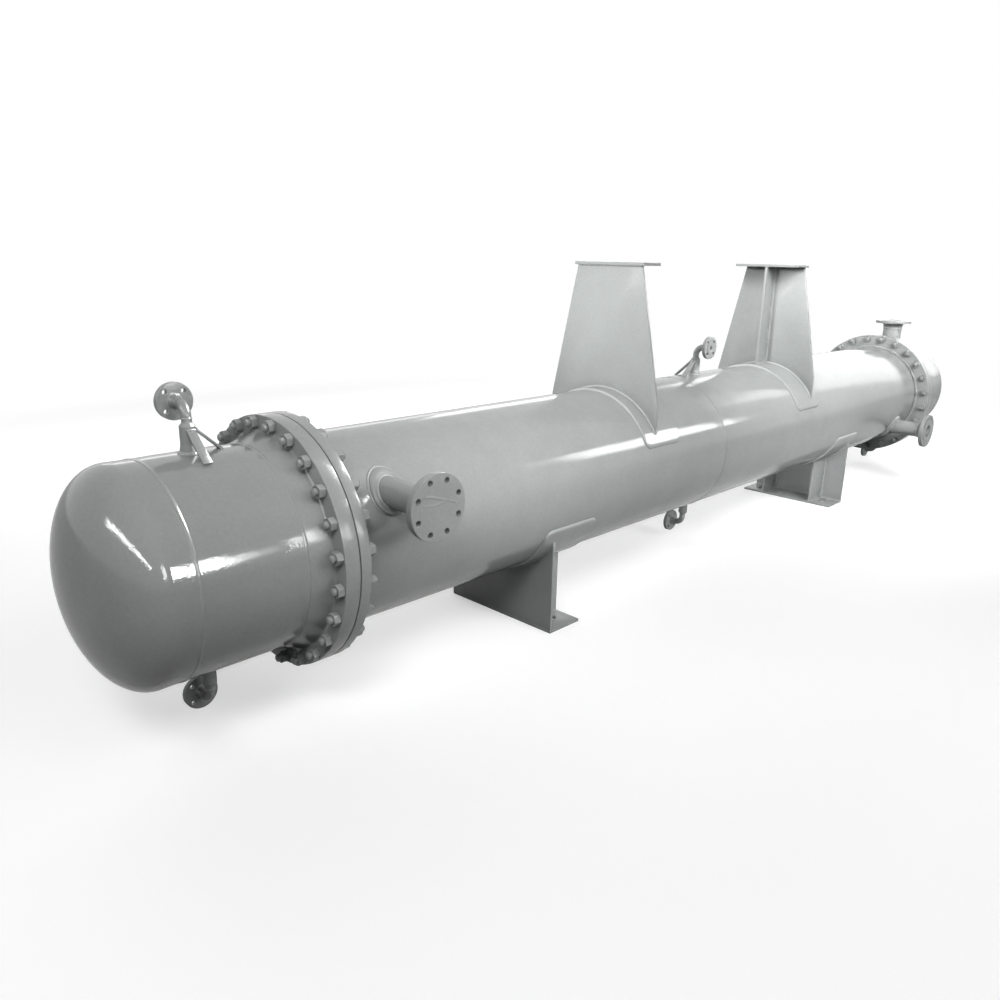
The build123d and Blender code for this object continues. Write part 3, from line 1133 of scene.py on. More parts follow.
@dataclass(frozen=True)
class Film:
    """Surface of the painted film that closes a nozzle's face.

    Attributes:
        radius: radius of the film.
        rings: steps outward.
        sides: steps round it.
        depth: how far the film lies below the face.
        folds: height and points of each fold, as (along the shell, up) from the middle.
        crease: half width of a fold.
        dent: middle and radius of the round dent.
        rim: width of the plain rim.
    """

    radius: float
    rings: int = 90
    sides: int = 180
    depth: float = 0.0014
    folds: tuple[tuple[float, tuple[Pair, ...]], ...] = (
        (0.0012, ((-0.050, 0.040), (-0.026, 0.035), (0.000, 0.026), (0.030, 0.017), (0.062, 0.006))),
        (0.0010, ((-0.054, 0.014), (-0.014, 0.009), (0.018, 0.014), (0.046, 0.022))),
    )
    crease: float = 0.0027
    dent: Triple = (-0.013, -0.014, 0.019)
    rim: float = 0.006

    def lift(self, here: Vector) -> float:
        """Height of the film over the plane of the face.

        Args:
            here: point along the shell and up from the middle of the face.

        Returns:
            The height, always below the face.
        """
        u, v, _ = here
        crests = []
        for height, fold in self.folds:
            near = min(self.apart(here, Vector((*a, 0)), Vector((*b, 0))) for a, b in zip(fold, fold[1:]))
            crests.append(height * math.exp(-(near / self.crease) ** 1.5))
        rise = 0.00010 * noise.noise(Vector((u * 55, v * 55, 1.0))) + max(crests)
        x, y, size = self.dent
        ring = math.hypot(u - x, v - y) - size
        rise -= 0.00035 * (1.0 if v < y + 0.006 else 0.25) * math.exp(-(ring / 0.0020) ** 2)
        edge = max(0.0, (math.hypot(u, v) - self.radius + self.rim) / self.rim)
        return -self.depth + rise * (1 - edge ** 2)

    @staticmethod
    def apart(here: Vector, start: Vector, end: Vector) -> float:
        """Distance of a point from a straight stretch.

        Args:
            here: the point.
            start: start of the stretch.
            end: its end.

        Returns:
            The distance.
        """
        along = end - start
        share = min(1.0, max(0.0, (here - start).dot(along) / along.length_squared))
        return (here - start - along * share).length

    def cover(self, place: Matrix, up: Vector) -> Form:
        """Film over a face, painted with it, with its folds and its dent.

        Args:
            place: local frame at the face, X along the shell.
            up: direction of the folds' second coordinate.

        Returns:
            The film's form.
        """
        out = place.to_3x3() @ Z
        rows = []
        for k in range(self.rings + 1):
            spots = [polar(self.radius * k / self.rings, t) for t in turns(self.sides)]
            rows.append([place.translation + X * s.x + up * s.y + out * self.lift(s) for s in spots])
        back = [p - out * 0.0008 for p in rows[-1]]
        return Form().grid([*rows, back, [place @ Vector((0, 0, -0.0021))] * self.sides])


@dataclass(frozen=True)
class Nozzle:
    """Straight nozzle with a flange.

    Attributes:
        label: start of the piece names.
        node: start of the names of its CAD nodes.
        branch: where it stands.
        size: pipe and flange.
        reach: distance of the face from the shell's axis.
        inner: distance of the neck's inner end from the shell's axis.
        film: whether painted film closes the face.
        collar: width, height and rounding of the weld ring at the foot, or none.
    """

    label: str
    node: str
    branch: Branch
    size: PipeSize
    reach: float
    inner: float
    film: bool = False
    collar: Triple | None = None

    def build(self) -> None:
        """Make neck, flange, root weld and film."""
        size, place = self.size, self.branch.frame(self.reach)
        stem = Form().lathe(rectangle(size.bore, self.inner - self.reach, size.pipe, -size.height), place, 96)
        if self.collar is not None:
            self.ring(stem, *self.collar)
        stem.piece(f"{self.label}_neck", FITTING_PAINT, Slot.FITTING, [f"{self.node}_neck"])
        flange, holes = size.body(place, sunk=0.0019 if self.film else 0.0)
        flange.piece(f"{self.label}_flange", FITTING_PAINT, Slot.FITTING, [f"{self.node}_flange"], cut=holes)
        welds = Form()
        joint = place @ Matrix.Translation((0, 0, -size.height))
        NECK_BEAD.hoop(welds, joint, size.pipe + 0.0004, 150, self.reach)
        if self.collar is None:
            self.branch.bead(welds, ROOT_BEAD, size.pipe + 0.002, 0.002, self.reach + 2)
        else:
            wide, tall, _ = self.collar
            self.branch.bead(welds, COLLAR_BEADS[0], size.pipe + 0.001, tall, self.reach + 2)
            self.branch.bead(welds, COLLAR_BEADS[1], size.pipe + wide + 0.001, 0.0005, self.reach + 3, 0.8)
        welds.piece(f"{self.label}_welds", WELD_PAINT, Slot.FITTING)
        if self.film:
            film = Film(size.face - 0.0008).cover(place, self.branch.side)
            film.piece(f"{self.label}_film", FITTING_PAINT, Slot.FITTING)

    def ring(self, form: Form, wide: float, tall: float, rounding: float) -> None:
        """Add the rounded ring of weld that follows the shell round the foot.

        Args:
            form: form that takes it.
            wide: width beyond the pipe.
            tall: height above the shell.
            rounding: radius of its outer edge.
        """
        inner, outer = self.size.pipe - 0.002, self.size.pipe + wide
        profile = [(inner, 0.0), (outer, -0.001)]
        for turn in (math.pi / 2 * i / 8 for i in range(9)):
            profile.append((outer - rounding * (1 - math.cos(turn)), tall - rounding * (1 - math.sin(turn))))
        self.branch.collar(form, [*profile, (inner, tall)])


@dataclass(frozen=True)
class Vent:
    """Boss, quarter bend and small flange, with two braces where it stands upright.

    Attributes:
        label: start of the piece names and of the CAD node names.
        x: position along the shell.
        down: whether it hangs below as a drain.
        back: whether the flange looks along -Y.
        braced: whether two flat bars steady it.
        boss: radius of the boss.
        foot: radius of its foot.
        top: top of the boss, from the shell's axis.
        bend_start: start of the bend, from the shell's axis.
        bend_r: radius of the bend's middle line.
        size: pipe and flange.
        bar: width and thickness of a brace.
        slope: run and rise of a brace.
        stays: turn of each brace, its length beyond the slope and how far its foot lies aside.
    """

    label: str
    x: float
    down: bool = False
    back: bool = False
    braced: bool = False
    boss: float = 0.0215
    foot: float = 0.025
    top: float = 0.392
    bend_start: float = 0.404
    bend_r: float = 0.038
    size: PipeSize = DN20
    bar: Pair = (0.025, 0.006)
    slope: Pair = (0.068, 0.062)
    stays: tuple[Triple, ...] = ((0.0, 0.010, 0.0), (-math.pi / 2, 0.024, 0.088))

    def place(self) -> Matrix:
        """Set up the vent's own frame.

        Returns:
            Frame on the shell's axis, Z away from the shell, with the bend towards its +Y.
        """
        turned = Matrix.Rotation(math.pi if self.back else 0.0, 4, "Z")
        turned = turned @ Matrix.Rotation(math.pi if self.down else 0.0, 4, "Y")
        return Matrix.Translation(VESSEL.centre(self.x)) @ turned

    def build(self) -> None:
        """Make boss with bend, flange, welds and braces."""
        place, size, radius = self.place(), self.size, VESSEL.radius
        middle = self.bend_start + self.bend_r
        body = Form()
        profile = rounded([(size.bore, radius - 0.004, 0), (self.foot, radius - 0.004, 0),
                           (self.foot, radius + 0.004, 0.002), (self.boss, radius + 0.024, 0.006),
                           (self.boss, self.top - 0.008, 0.0015), (size.pipe + 0.001, self.top, 0.001),
                           (size.pipe, self.bend_start, 0), (size.bore, self.bend_start, 0)], 3)
        body.lathe(profile, place, 48)
        self.bend(body, place)
        body.piece(f"{self.label}_tube", FITTING_PAINT, Slot.FITTING, [f"{self.label}_pipe"])

        local = frame(Vector((0, self.bend_r + size.height, middle)), Y, X)
        flange, holes = size.body(place @ local, 64)
        flange.piece(f"{self.label}_end", FITTING_PAINT, Slot.FITTING, [f"{self.label}_flange"], cut=holes)

        welds = Form()
        Branch(self.x, -Z if self.down else Z, Y).bead(welds, BOSS_BEAD, self.foot + 0.001, 0.001, self.x)
        bend_end = frame(Vector((0, self.bend_r, middle)), -Y, X)
        for joint in (Matrix.Translation((0, 0, self.bend_start)), bend_end):
            BEND_BEAD.hoop(welds, place @ joint, size.pipe + 0.0003, 48, self.x + 1)
        if self.braced:
            self.braces(place, welds)
        welds.piece(f"{self.label}_welds", WELD_PAINT, Slot.FITTING)

    def bend(self, form: Form, place: Matrix, steps: int = 14) -> None:
        """Add the quarter bend, a little swollen where it was pressed.

        Args:
            form: form that takes it.
            place: local frame of the vent.
            steps: steps along the bend.
        """
        rows = []
        for radius, swell, order in ((self.size.pipe, 0.06, 1), (self.size.bore, 0.0, -1)):
            for turn in [math.pi / 2 * i / steps for i in range(steps + 1)][::order]:
                reach = radius * (1.0 + swell * math.sin(turn * 2))
                side = Vector((0, math.cos(turn), -math.sin(turn)))
                centre = Vector((0, self.bend_r, self.bend_start)) - side * self.bend_r
                rows.append([place @ (centre + X * (reach * math.cos(a)) + side * (reach * math.sin(a)))
                             for a in turns(40)])
        form.grid(rows, True)

    def braces(self, place: Matrix, welds: Form) -> None:
        """Two flat bars from the boss down to the shell.

        Args:
            place: local frame of the vent.
            welds: form that takes the beads at their ends.
        """
        (wide, thick), (run, rise) = self.bar, self.slope
        slope = math.atan2(rise, run)
        along = Vector((math.cos(slope), 0, -math.sin(slope)))
        up = Vector((math.sin(slope), 0, math.cos(slope)))
        high = Vector((self.boss - 0.004, 0, VESSEL.radius + rise + 0.0036))
        bars = Form()
        for turn, beyond, aside in self.stays:
            spin = place @ Matrix.Rotation(turn, 4, "Z")
            bars.slab(rectangle(-wide / 2, -thick / 2, wide / 2, thick / 2), math.hypot(run, rise) + beyond,
                      spin @ frame(high, along, Y))
            drop = high.z - math.sqrt(VESSEL.radius ** 2 - aside ** 2)
            foot = high + along * (drop / math.sin(slope) - 0.003)
            for spot, lean in ((foot, (up + Z + X).normalized()), (high + along * 0.0045, up + X * 0.6)):
                path = spaced(*(spin @ (spot + up * (thick / 2) + Y * (s * wide * 0.46)) for s in (-1, 1)))
                lift = (spin.to_3x3() @ lean).normalized()
                BRACE_BEAD.lay(welds, path, [lift] * len(path), False, self.x + turn)
        bars.piece(f"{self.label}_bars", FITTING_PAINT, Slot.FITTING, [f"{self.label}_braces"], bevel=0.0009)


# Supports


@dataclass(frozen=True)
class Pad:
    """Rounded plate rolled onto the shell.

    Attributes:
        x: middle along the shell.
        length: size along the shell.
        half: half angle in degrees.
        below: whether it is under the shell.
        flat: length at each end that the rolls left flat.
        corner: corner radius.
        margin: width of the fine rows along its ends.
        ease: how far the outermost rows lie below the face.
    """

    x: float
    length: float
    half: float
    below: bool
    flat: float = 0.0
    corner: float = 0.030
    margin: float = 0.0015
    ease: Triple = (0.0012, 0.0004, 0.0)

    @property
    def middle(self) -> float:
        """Angle of its middle, from straight up."""
        return math.pi if self.below else 0.0

    def limit(self, u: float) -> float:
        """Half width along the girth at a place along the pad.

        Args:
            u: distance from its middle along the shell.

        Returns:
            Half width in radians.
        """
        over = max(0.0, abs(u) - (self.length / 2 - self.corner))
        cut = self.corner - math.sqrt(max(self.corner ** 2 - over ** 2, 0.0))
        return math.radians(self.half) - cut / VESSEL.padded

    def sink(self, angle: float) -> float:
        """How far a flat end lies below the rolled curve.

        Args:
            angle: radians from the middle of the plate.

        Returns:
            The depth.
        """
        share = self.flat / VESSEL.padded
        off = abs(angle) - (math.radians(self.half) - share / 2)
        if abs(off) >= share / 2:
            return 0.0
        return VESSEL.padded * (1.0 - math.cos(share / 2) / math.cos(off))

    def build(self, name: str, node: str, columns: int = 72) -> None:
        """Make the plate.

        Args:
            name: object name.
            node: CAD node that it stands for.
            columns: steps round the shell between the fine rows.
        """
        half, fine = self.length / 2, self.margin / VESSEL.radius
        ends = (0.0, 0.0006, 0.0015, 0.003, 0.006, 0.011, 0.017, 0.023, 0.030)
        places = [-half + e for e in ends] + [half - e for e in reversed(ends)]
        rows = []
        for index, u in enumerate(places):
            limit, least = self.limit(u), self.ease[min(index, len(places) - 1 - index, 2)]
            angles = [-limit, -limit + fine * 0.4]
            angles += [-limit + fine + 2 * (limit - fine) * j / columns for j in range(columns + 1)]
            angles += [limit - fine * 0.4, limit]
            outer = []
            for j, a in enumerate(angles):
                lower = max(least, self.ease[min(j, len(angles) - 1 - j, 2)])
                outer.append(VESSEL.spot(self.x + u, self.middle + a, VESSEL.pad - lower - self.sink(a)))
            under = [VESSEL.spot(self.x + u, self.middle + a, -0.001) for a in reversed(angles)]
            rows.append(outer + under)
        inner = [row[len(row) // 2:] for row in (rows[0], rows[-1])]
        first, last = ([*reversed(row), *row] for row in inner)
        Form().grid([first, *rows, last]).piece(name, PAD_PAINT, Slot.STEEL, [node])

    def outline(self, welds: Form, seed: float, arc: int = 24, gap: float = 0.0008) -> None:
        """Weld bead all round the pad.

        Args:
            welds: form that takes it.
            seed: picks the pattern of ripples.
            arc: steps of each corner.
            gap: distance of the bead's middle from the edge.
        """
        radius, corner = VESSEL.radius, self.corner
        half_u, half_v = self.length / 2 + gap - corner, math.radians(self.half) * radius + gap - corner
        flat = []
        for quadrant, (u, v) in enumerate(rectangle(half_u, half_v, -half_u, -half_v)):
            angles = (math.pi / 2 * (quadrant + i / arc) for i in range(arc + 1))
            flat += [Vector((u, v, 0)) + polar(corner, a) for a in angles]
        loop: list[Vector] = []
        for spot, after in zip(flat, flat[1:] + flat[:1]):
            steps = max(1, round((after - spot).length / WELD_STEP))
            loop += [spot.lerp(after, k / steps) for k in range(steps)]
        path, lifts = [], []
        for i, spot in enumerate(loop):
            along = loop[(i + 1) % len(loop)] - loop[i - 1]
            beyond = Vector((along.y, -along.x)).normalized()
            angle = self.middle + spot.y / radius
            girth = Vector((0, -math.cos(angle), -math.sin(angle)))
            path.append(VESSEL.spot(self.x + spot.x, angle, 0.0015))
            lifts.append((VESSEL.out(angle) + X * beyond.x + girth * beyond.y).normalized())
        PAD_BEAD.lay(welds, path, lifts, True, seed)


@dataclass(frozen=True)
class Support:
    """Shared parts of saddles and brackets: plates set square to the shell.

    Attributes:
        name: front or rear.
        x: origin of its own frame along the shell.
        turned: whether it is turned half round.
        plate: plate thickness.
    """

    name: str
    x: float
    turned: bool = False
    plate: float = 0.012

    def place(self) -> Matrix:
        """Its own frame, on the floor under the shell's axis."""
        return Matrix.Translation((self.x, 0, 0)) @ Matrix.Rotation(math.pi if self.turned else 0.0, 4, "Z")

    def across(self, form: Form, outline: Profile, x: float, thick: float) -> Form:
        """Add an upright plate.

        Args:
            form: form that takes it.
            outline: corners as (y, z).
            x: where it starts along the shell.
            thick: size along the shell.

        Returns:
            The form.
        """
        return form.slab(outline, thick, self.place() @ frame(Vector((x, 0, 0)), X, Y))

    def steel(self, form: Form, part: str, node: str, bevel: float = 0.0010, cut: Form | None = None) -> None:
        """Dress a plate.

        Args:
            form: the plate.
            part: end of the piece's name.
            node: end of its CAD node's name.
            bevel: width taken off hard edges.
            cut: form taken out of it.
        """
        form.piece(f"{self.name}_{part}", STEEL_PAINT, Slot.STEEL, [f"{self.name}_{node}"], bevel, cut)

    def close(self, kind: str, pad: Pad, welds: Form) -> None:
        """Make the pad with the bead round it, and dress the welds.

        Args:
            kind: saddle or bracket.
            pad: the pad.
            welds: form of the support's welds.
        """
        pad.build(f"{self.name}_{kind}_wear_plate", f"{self.name}_{kind}_pad")
        pad.outline(welds, self.x + 4)
        welds.piece(f"{self.name}_{kind}_welds", WELD_PAINT, Slot.STEEL)

    @staticmethod
    def arc(half_y: float, below: bool, steps: int = 48) -> list[Pair]:
        """Edge of a web that follows the pad.

        Args:
            half_y: half width of the web.
            below: whether the web is under the shell.
            steps: steps along the edge.

        Returns:
            (y, z) points from +Y to -Y.
        """
        radius, widest = VESSEL.padded, math.asin(half_y / VESSEL.padded)
        angles = [widest - 2 * widest * i / steps for i in range(steps + 1)]
        rise = -radius if below else radius
        return [(radius * math.sin(a), VESSEL.axis_z + rise * math.cos(a)) for a in angles]

    def arc_seam(self, welds: Form, x: float, lean: Vector, half_y: float, below: bool) -> None:
        """Fillet weld between a web and its pad.

        Args:
            welds: form that takes it.
            x: face of the web, in the support's frame.
            lean: normal of that face.
            half_y: half width of the web.
            below: whether the web is under the shell.
        """
        place, radius = self.place(), VESSEL.padded
        widest = math.asin(half_y / radius) * 0.99
        count = round(2 * widest * radius / WELD_STEP)
        path, lifts = [], []
        for a in (widest - 2 * widest * i / count for i in range(count + 1)):
            radial = Vector((0, math.sin(a), -math.cos(a) if below else math.cos(a)))
            lifts.append((place.to_3x3() @ (radial + lean)).normalized())
            path.append(place @ (Vector((x, 0, VESSEL.axis_z)) + radial * radius) + lifts[-1] * ROOT_LIFT)
        WEB_BEAD.lay(welds, path, lifts, False, x + self.x)


@dataclass(frozen=True)
class Saddle(Support):
    """Saddle drawn with its web on the -X side, its frame under the middle of the base.

    Attributes:
        base: half sizes of the base plate.
        rib_y: middle of each rib.
        slot_y: middle of each anchor slot.
        slot: half of a slot's straight length, and radius of its ends.
    """

    base: Pair = (0.085, 0.271)
    rib_y: float = 0.148
    slot_y: float = 0.196
    slot: Pair = (0.017, 0.013)

    def build(self) -> None:
        """Make base, web, ribs, pad and welds."""
        t, place, (half_x, half_y) = self.plate, self.place(), self.base
        inside = t - half_x
        foot = Form().slab(rectangle(-half_x, -half_y, half_x, half_y), t, place)
        self.steel(foot, "foot", "saddle_base", 0.0012, self.slots())
        web = [(-half_y, t), (half_y, t), *self.arc(half_y, True)]
        self.steel(self.across(Form(), web, -half_x, t), "saddle_plate", "saddle_web")
        welds = Form()
        self.steel(self.ribs(inside, welds), "saddle_gussets", "saddle_ribs")
        for x, lean in ((-half_x, -X), (inside, X)):
            self.arc_seam(welds, x, lean, half_y, True)
        ends = (Vector((inside, -half_y, t)), Vector((inside, half_y, t)))
        FILLET_BEAD.fillet(welds, place, ends, (X, Z), self.x + 1)
        self.close("saddle", Pad(self.x, 0.282, 68.5, True), welds)

    def slots(self) -> Form:
        """Shape the two anchor slots.

        Returns:
            The form to cut out of the base plate.
        """
        half, radius = self.slot
        form, outline = Form(), []
        for end, first in ((half, -math.pi / 2), (-half, math.pi / 2)):
            for turn in (first + math.pi * i / 12 for i in range(13)):
                outline.append((end + radius * math.cos(turn), radius * math.sin(turn)))
        for y in (-self.slot_y, self.slot_y):
            form.slab(outline, self.plate + 0.02, self.place() @ Matrix.Translation((0, y, -0.01)))
        return form

    def ribs(self, inside: float, welds: Form) -> Form:
        """Make both ribs and the beads along their edges.

        Args:
            inside: face of the web that they stand on.
            welds: form that takes the beads.

        Returns:
            The ribs' form.
        """
        t, far = self.plate, self.base[0]
        inner, outer = self.rib_y - t / 2, self.rib_y + t / 2
        tops = [VESSEL.axis_z - math.sqrt(VESSEL.padded ** 2 - y ** 2) for y in (inner, outer)]
        form = Form()
        for side in (-1, 1):
            outline = [(inner, t), (outer, t), (outer, tops[1]), (inner, tops[0])]
            self.across(form, [(side * y, z) for y, z in outline], inside, far - inside)
            for y, face, top in ((inner, -side, tops[0]), (outer, side, tops[1])):
                low, high = ([Vector((x, side * y, z)) for x in (inside, far)] for z in (t, top))
                angle = math.asin(y / VESSEL.padded)
                hang = Vector((0, side * math.sin(angle), -math.cos(angle)))
                for index, (ends, second) in enumerate(((low, Z), ((low[0], high[0]), X), (high, hang))):
                    FILLET_BEAD.fillet(welds, self.place(), ends, (Y * face, second), y + index + self.x)
        return form


@dataclass(frozen=True)
class Bracket(Support):
    """Stacking bracket drawn with the outer face of its web at local x = 0.

    Attributes:
        top_z: top face.
        top_y: half width of the web at the top.
        side_y: half width of the web at the pad.
        taper_z: height where the web stops widening.
        overhang: top plate beyond the web.
        reach: end of the rib and of the top plate.
        lip: top plate beyond the web's top.
        pad_flat: length at each end of the pad that the rolls left flat.
    """

    top_z: float = 1.359
    top_y: float = 0.161
    side_y: float = 0.278
    taper_z: float = 0.796
    overhang: float = 0.009
    reach: float = 0.111
    lip: float = 0.012
    pad_flat: float = 0.055

    def build(self) -> None:
        """Make web, top plate, pad and welds."""
        t, place, low = self.plate, self.place(), self.top_z - self.plate
        top = [(self.side_y, self.taper_z), (self.top_y, low)]
        web = [*reversed(self.arc(self.side_y, False)), *top, *((-y, z) for y, z in reversed(top))]
        self.steel(self.across(Form(), web, 0.0, t), "bracket_plate", "bracket_web")
        half = self.top_y + self.lip
        cap = rectangle(-self.overhang, -half, self.reach, half)
        self.steel(Form().slab(cap, t, place @ Matrix.Translation((0, 0, low))), "bracket_cap",
                   "bracket_top_plate", 0.0012)
        welds = Form()
        for side in (-1, 1):
            y, foot = side * t / 2, VESSEL.axis_z + VESSEL.padded
            root, crown, toe, tip = (Vector((x, y, z)) for x in (t, self.reach) for z in (foot, low))
            runs = (((root, crown), X, self.x), ((root, toe), Z, 2), ((crown, tip), -Z, 3))
            for ends, second, seed in runs:
                FILLET_BEAD.fillet(welds, place, ends, (Y * side, second), y + seed)
        for x, lean in ((0.0, -X), (t, X)):
            self.arc_seam(welds, x, lean, self.side_y, False)
            ends = (Vector((x, -self.top_y, low)), Vector((x, self.top_y, low)))
            FILLET_BEAD.fillet(welds, place, ends, (lean, -Z), x + 5)
        middle = self.x + (self.reach - self.overhang) / 2 * (-1 if self.turned else 1)
        self.close("bracket", Pad(middle, 0.240, 69.0, False, self.pad_flat), welds)

    def rib(self, form: Form) -> None:
        """Add the bracket's rib to a form."""
        t, foot = self.plate, VESSEL.axis_z + VESSEL.padded - 0.001
        self.across(form, rectangle(-t / 2, foot, t / 2, self.top_z - t), t, self.reach - t)


# Stage


class Shine(Enum):
    """What a lamp does to the object: light it, or show as a reflection in it."""

    LIGHT = (True, False)
    REFLECTION = (False, True)


@dataclass(frozen=True)
class Lamp:
    """Soft rectangular lamp.

    Attributes:
        name: object name.
        spot: where it stands.
        aim: what it points at.
        size: width and height.
        watts: power.
        spread: width of its beam in degrees.
        shine: what it does to the object.
    """

    name: str
    spot: Triple
    aim: Triple
    size: Pair
    watts: float
    spread: float = 180.0
    shine: Shine = Shine.LIGHT

    def build(self) -> bpy.types.Object:
        """Make the lamp.

        Returns:
            The lamp's object.
        """
        data = bpy.data.lights.new(self.name, "AREA")
        data.shape, data.size, data.size_y, data.energy = "RECTANGLE", *self.size, self.watts
        data.spread = math.radians(self.spread)
        made = show(self.name, data)
        made.location = self.spot
        made.rotation_euler = (Vector(self.aim) - Vector(self.spot)).to_track_quat("-Z", "Y").to_euler()
        made.visible_camera = False
        made.visible_diffuse, made.visible_glossy = self.shine.value
        return made


def window(name: str, x: float, z: float, size: Pair, watts: float, y: float = -4.5) -> Lamp:
    """Lamp seen only in reflections, that faces the shell squarely from the side."""
    return Lamp(name, (x, y, z), (x, 0.0, z), size, watts, shine=Shine.REFLECTION)


@dataclass(frozen=True)
class Stage:
    """Pale floor, white surroundings, lamps and camera.

    Attributes:
        lamps: all the lamps.
        sky: level of the surroundings for the light that falls on the object.
        eye: where the camera stands.
        angles: turn, dip and tilt of the camera in degrees.
        lens: focal length of the camera in millimetres.
    """

    lamps: tuple[Lamp, ...] = (
        Lamp("key", (-0.6, -3.4, 3.6), (-0.4, 0.0, 0.5), (2.2, 1.6), 27.0),
        Lamp("front_side", (-3.4, -2.6, 3.9), (-1.2, 0.0, 0.6), (1.6, 1.2), 95.0),
        Lamp("front", (-5.0, -1.2, 3.4), (-1.2, 0.0, 0.7), (1.6, 1.2), 24.0),
        Lamp("shell_side", (1.0, -3.4, 1.9), (0.8, 0.0, 0.6), (2.2, 1.0), 11.0, 80.0),
        Lamp("shell_top", (1.0, -2.6, 3.0), (0.8, 0.0, 0.6), (2.2, 1.0), 1.0, 80.0),
        Lamp("nozzle_fill", (-0.2, -3.0, 1.5), (-0.3, 0.0, 0.7), (1.0, 0.8), 2.0, 40.0),
        Lamp("nozzle_top", (-0.2, -2.4, 2.6), (-0.3, 0.0, 0.7), (1.0, 0.8), 1.5, 40.0),
        Lamp("bracket_fill", (-2.4, 0.9, 2.0), (0.55, 0.0, 1.2), (0.7, 0.5), 4.4, 30.0),
        Lamp("far_bracket_fill", (0.9, 0.0, 2.2), (1.95, 0.0, 1.15), (0.8, 0.5), 2.5, 60.0),
        Lamp("far_fill", (0.9, -2.6, 2.6), (3.4, 0.0, 0.8), (1.4, 1.2), 20.0, 60.0),
        Lamp("far_low", (4.0, -4.0, 1.0), (2.5, 0.0, 0.5), (2.0, 1.0), 30.0),
        Lamp("channel_fill", (2.6, -2.2, 2.6), (3.8, 0.0, 0.95), (0.8, 0.6), 2.5, 30.0),
        Lamp("middle_fill", (1.2, -2.2, 2.4), (1.5, -0.2, 0.7), (0.8, 0.6), 1.8, 50.0),
        Lamp("vent_fill", (0.8, -1.3, 2.0), (1.235, 0.0, 0.99), (0.4, 0.4), 0.6, 25.0),
        Lamp("drain_fill", (0.9, -1.0, 0.25), (1.235, 0.0, 0.13), (0.3, 0.2), 0.08, 25.0),
        Lamp("saddle_fill", (1.35, -0.35, 0.16), (2.4, 0.0, 0.2), (0.4, 0.2), 0.6, 60.0),
        Lamp("back_fill", (1.6, 4.8, 2.6), (1.2, 0.0, 0.6), (7.0, 2.0), 190.0),
        Lamp("end_fill", (7.6, 0.6, 2.8), (4.0, 0.0, 0.6), (1.8, 1.4), 110.0),
        window("near_window", 0.28, 1.68, (0.44, 0.90), 60.0),
        window("next_window", 0.66, 1.58, (0.32, 0.60), 9.0),
        window("third_window", 0.96, 1.62, (0.24, 0.45), 1.6),
        window("fourth_window", 1.60, 1.62, (0.36, 1.00), 17.0),
        window("left_window", -1.85, 1.95, (0.9, 1.0), 40.0),
        window("side_row", 7.6, 3.45, (3.6, 1.3), 160.0),
        Lamp("end_wall", (17.0, 1.6, 5.6), (2.5, 1.6, 5.6), (12.0, 7.0), 560.0, shine=Shine.REFLECTION),
        Lamp("left_row", (-6.6, -2.0, 3.35), (-1.5, -2.0, 0.6), (8.6, 0.50), 300.0, shine=Shine.REFLECTION),
        window("back_row", 6.3, 3.0, (3.4, 1.3), 36.0, 5.6),
        window("back_window", 3.5, 2.0, (2.0, 0.3), 4.0, 5.6),
        window("back_left_window", 0.9, 2.1, (2.2, 0.35), 6.0, 5.6),
        Lamp("film_glint", (-0.32, -0.80, 1.15), (-0.82, -0.488, 0.70), (0.14, 0.14), 0.4, 40.0,
             Shine.REFLECTION),
        Lamp("vent_glint", (-0.04, -0.37, 1.89), (-1.306, -0.03, 0.99), (0.5, 0.5), 12.0, 25.0,
             Shine.REFLECTION),
    )
    sky: float = 0.09
    eye: Triple = (-2.287, -2.132, 1.370)
    angles: Triple = (44.173, 16.358, 1.156)
    lens: float = 29.83

    def build(self) -> None:
        """Make the whole stage."""
        self.world()
        made = [self.floor(), *(lamp.build() for lamp in self.lamps)]
        self.camera()
        bpy.context.scene.view_settings.view_transform = "Standard"

    def world(self) -> None:
        """White surroundings."""
        world = bpy.data.worlds.new("surroundings")
        bpy.context.scene.world = world
        world.use_nodes = True
        graph = Graph(world.node_tree)
        level = graph.between(graph.seen(), 0.0, 1.0, self.sky, 1.0)
        graph.node("OutputWorld", Surface=graph.node("Background", Color=WHITE, Strength=level).outputs[0])

    def floor(self, half: float = 60.0, thick: float = 0.02) -> bpy.types.Object:
        """Lay the floor.

        Args:
            half: half of its width.
            thick: its thickness.

        Returns:
            The floor's object.
        """
        slab = Form().slab(rectangle(-half, -half, half, half), -thick, Matrix.Identity(4))
        made = show("floor", slab.mesh("floor"))
        made.data.materials.append(FLOOR.material())
        return made

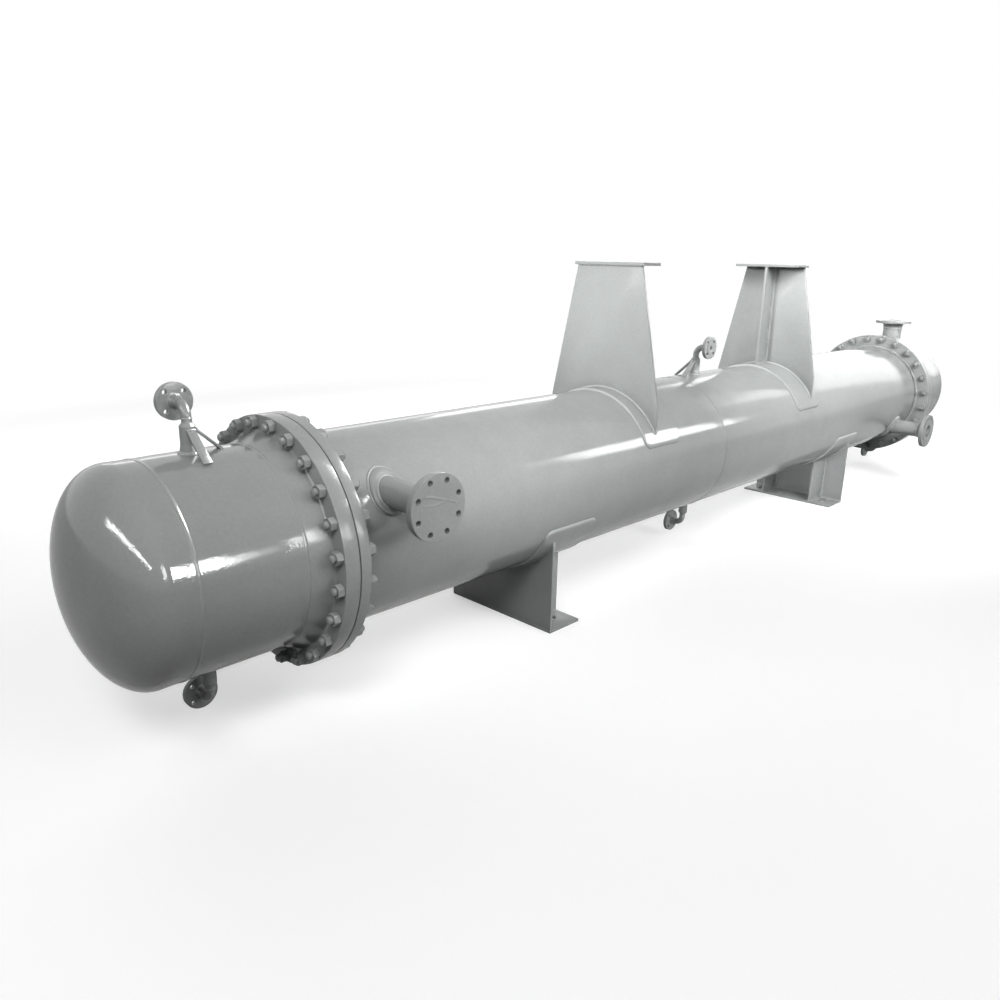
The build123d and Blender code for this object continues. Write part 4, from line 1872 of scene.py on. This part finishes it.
    def camera(self) -> None:
        """Camera at the photograph's viewing angle."""
        yaw, pitch, roll = (math.radians(angle) for angle in self.angles)
        ahead = Vector((math.cos(yaw) * math.cos(pitch), math.sin(yaw) * math.cos(pitch), -math.sin(pitch)))
        right = Vector((math.sin(yaw), -math.cos(yaw), 0))
        up = right.cross(ahead)
        level = right * math.cos(roll) + up * math.sin(roll)
        upright = up * math.cos(roll) - right * math.sin(roll)
        data = bpy.data.cameras.new("camera")
        data.lens, data.sensor_width, data.sensor_fit = self.lens, 36.0, "HORIZONTAL"
        data.clip_start, data.clip_end = 0.05, 200.0
        made = show("camera", data)
        turned = Matrix((level, upright, -ahead)).transposed().to_4x4()
        made.matrix_world = Matrix.Translation(self.eye) @ turned
        bpy.context.scene.camera = made


# Assembly


def main() -> None:
    """Build the exchanger and its stage."""
    logging.basicConfig(level=logging.INFO, format="%(name)s %(message)s")
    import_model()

    side_front = Branch(-0.834, -Y, Z, 0.167)
    side_rear = Branch(3.233, -Y, Z, -0.158)
    channel_top = Branch(3.743, Z, Y)
    joints = (GirthJoint("bonnet", "front", -1.027, Outward.BONNET),
              GirthJoint("channel", "rear", 3.497, Outward.CHANNEL))
    gaskets = Form()
    for joint in joints:
        joint.build()
        joint.ring(gaskets)
    gaskets.piece("joint_gaskets", GASKET_SHEET, Slot.GASKET, ["girth_gaskets"])
    Shell().build(((side_front, DN80.bore), (side_rear, DN80.bore)))
    End(joints[0], 0.420).build()
    End(joints[1], 0.386).build((channel_top, DN100.bore))

    collar, inner = (0.020, 0.014, 0.011), 0.225
    for nozzle in (Nozzle("front_nozzle", "shell_front_nozzle", side_front, DN80, 0.488, inner, True, collar),
                   Nozzle("rear_nozzle", "shell_rear_nozzle", side_rear, DN80, 0.486, inner, False, collar),
                   Nozzle("channel_nozzle", "channel_top_nozzle", channel_top, DN100, 0.472, VESSEL.bore)):
        nozzle.build()

    bonnet_x, shell_x, channel_x = -1.306, 1.235, 3.745
    for vent in (Vent("bonnet_vent", bonnet_x, braced=True), Vent("bonnet_drain", bonnet_x, down=True),
                 Vent("shell_vent", shell_x, back=True, braced=True), Vent("shell_drain", shell_x, down=True),
                 Vent("channel_drain", channel_x, down=True)):
        vent.build()

    for saddle in (Saddle("front", 0.0), Saddle("rear", 2.470, True)):
        saddle.build()
    ribs = Form()
    for bracket in (Bracket("front", 0.516), Bracket("rear", 1.954, True)):
        bracket.build()
        bracket.rib(ribs)
    ribs.piece("bracket_gussets", STEEL_PAINT, Slot.STEEL, ["bracket_ribs"], bevel=0.0010)

    Stage().build()


if __name__ == "__main__":
    main()
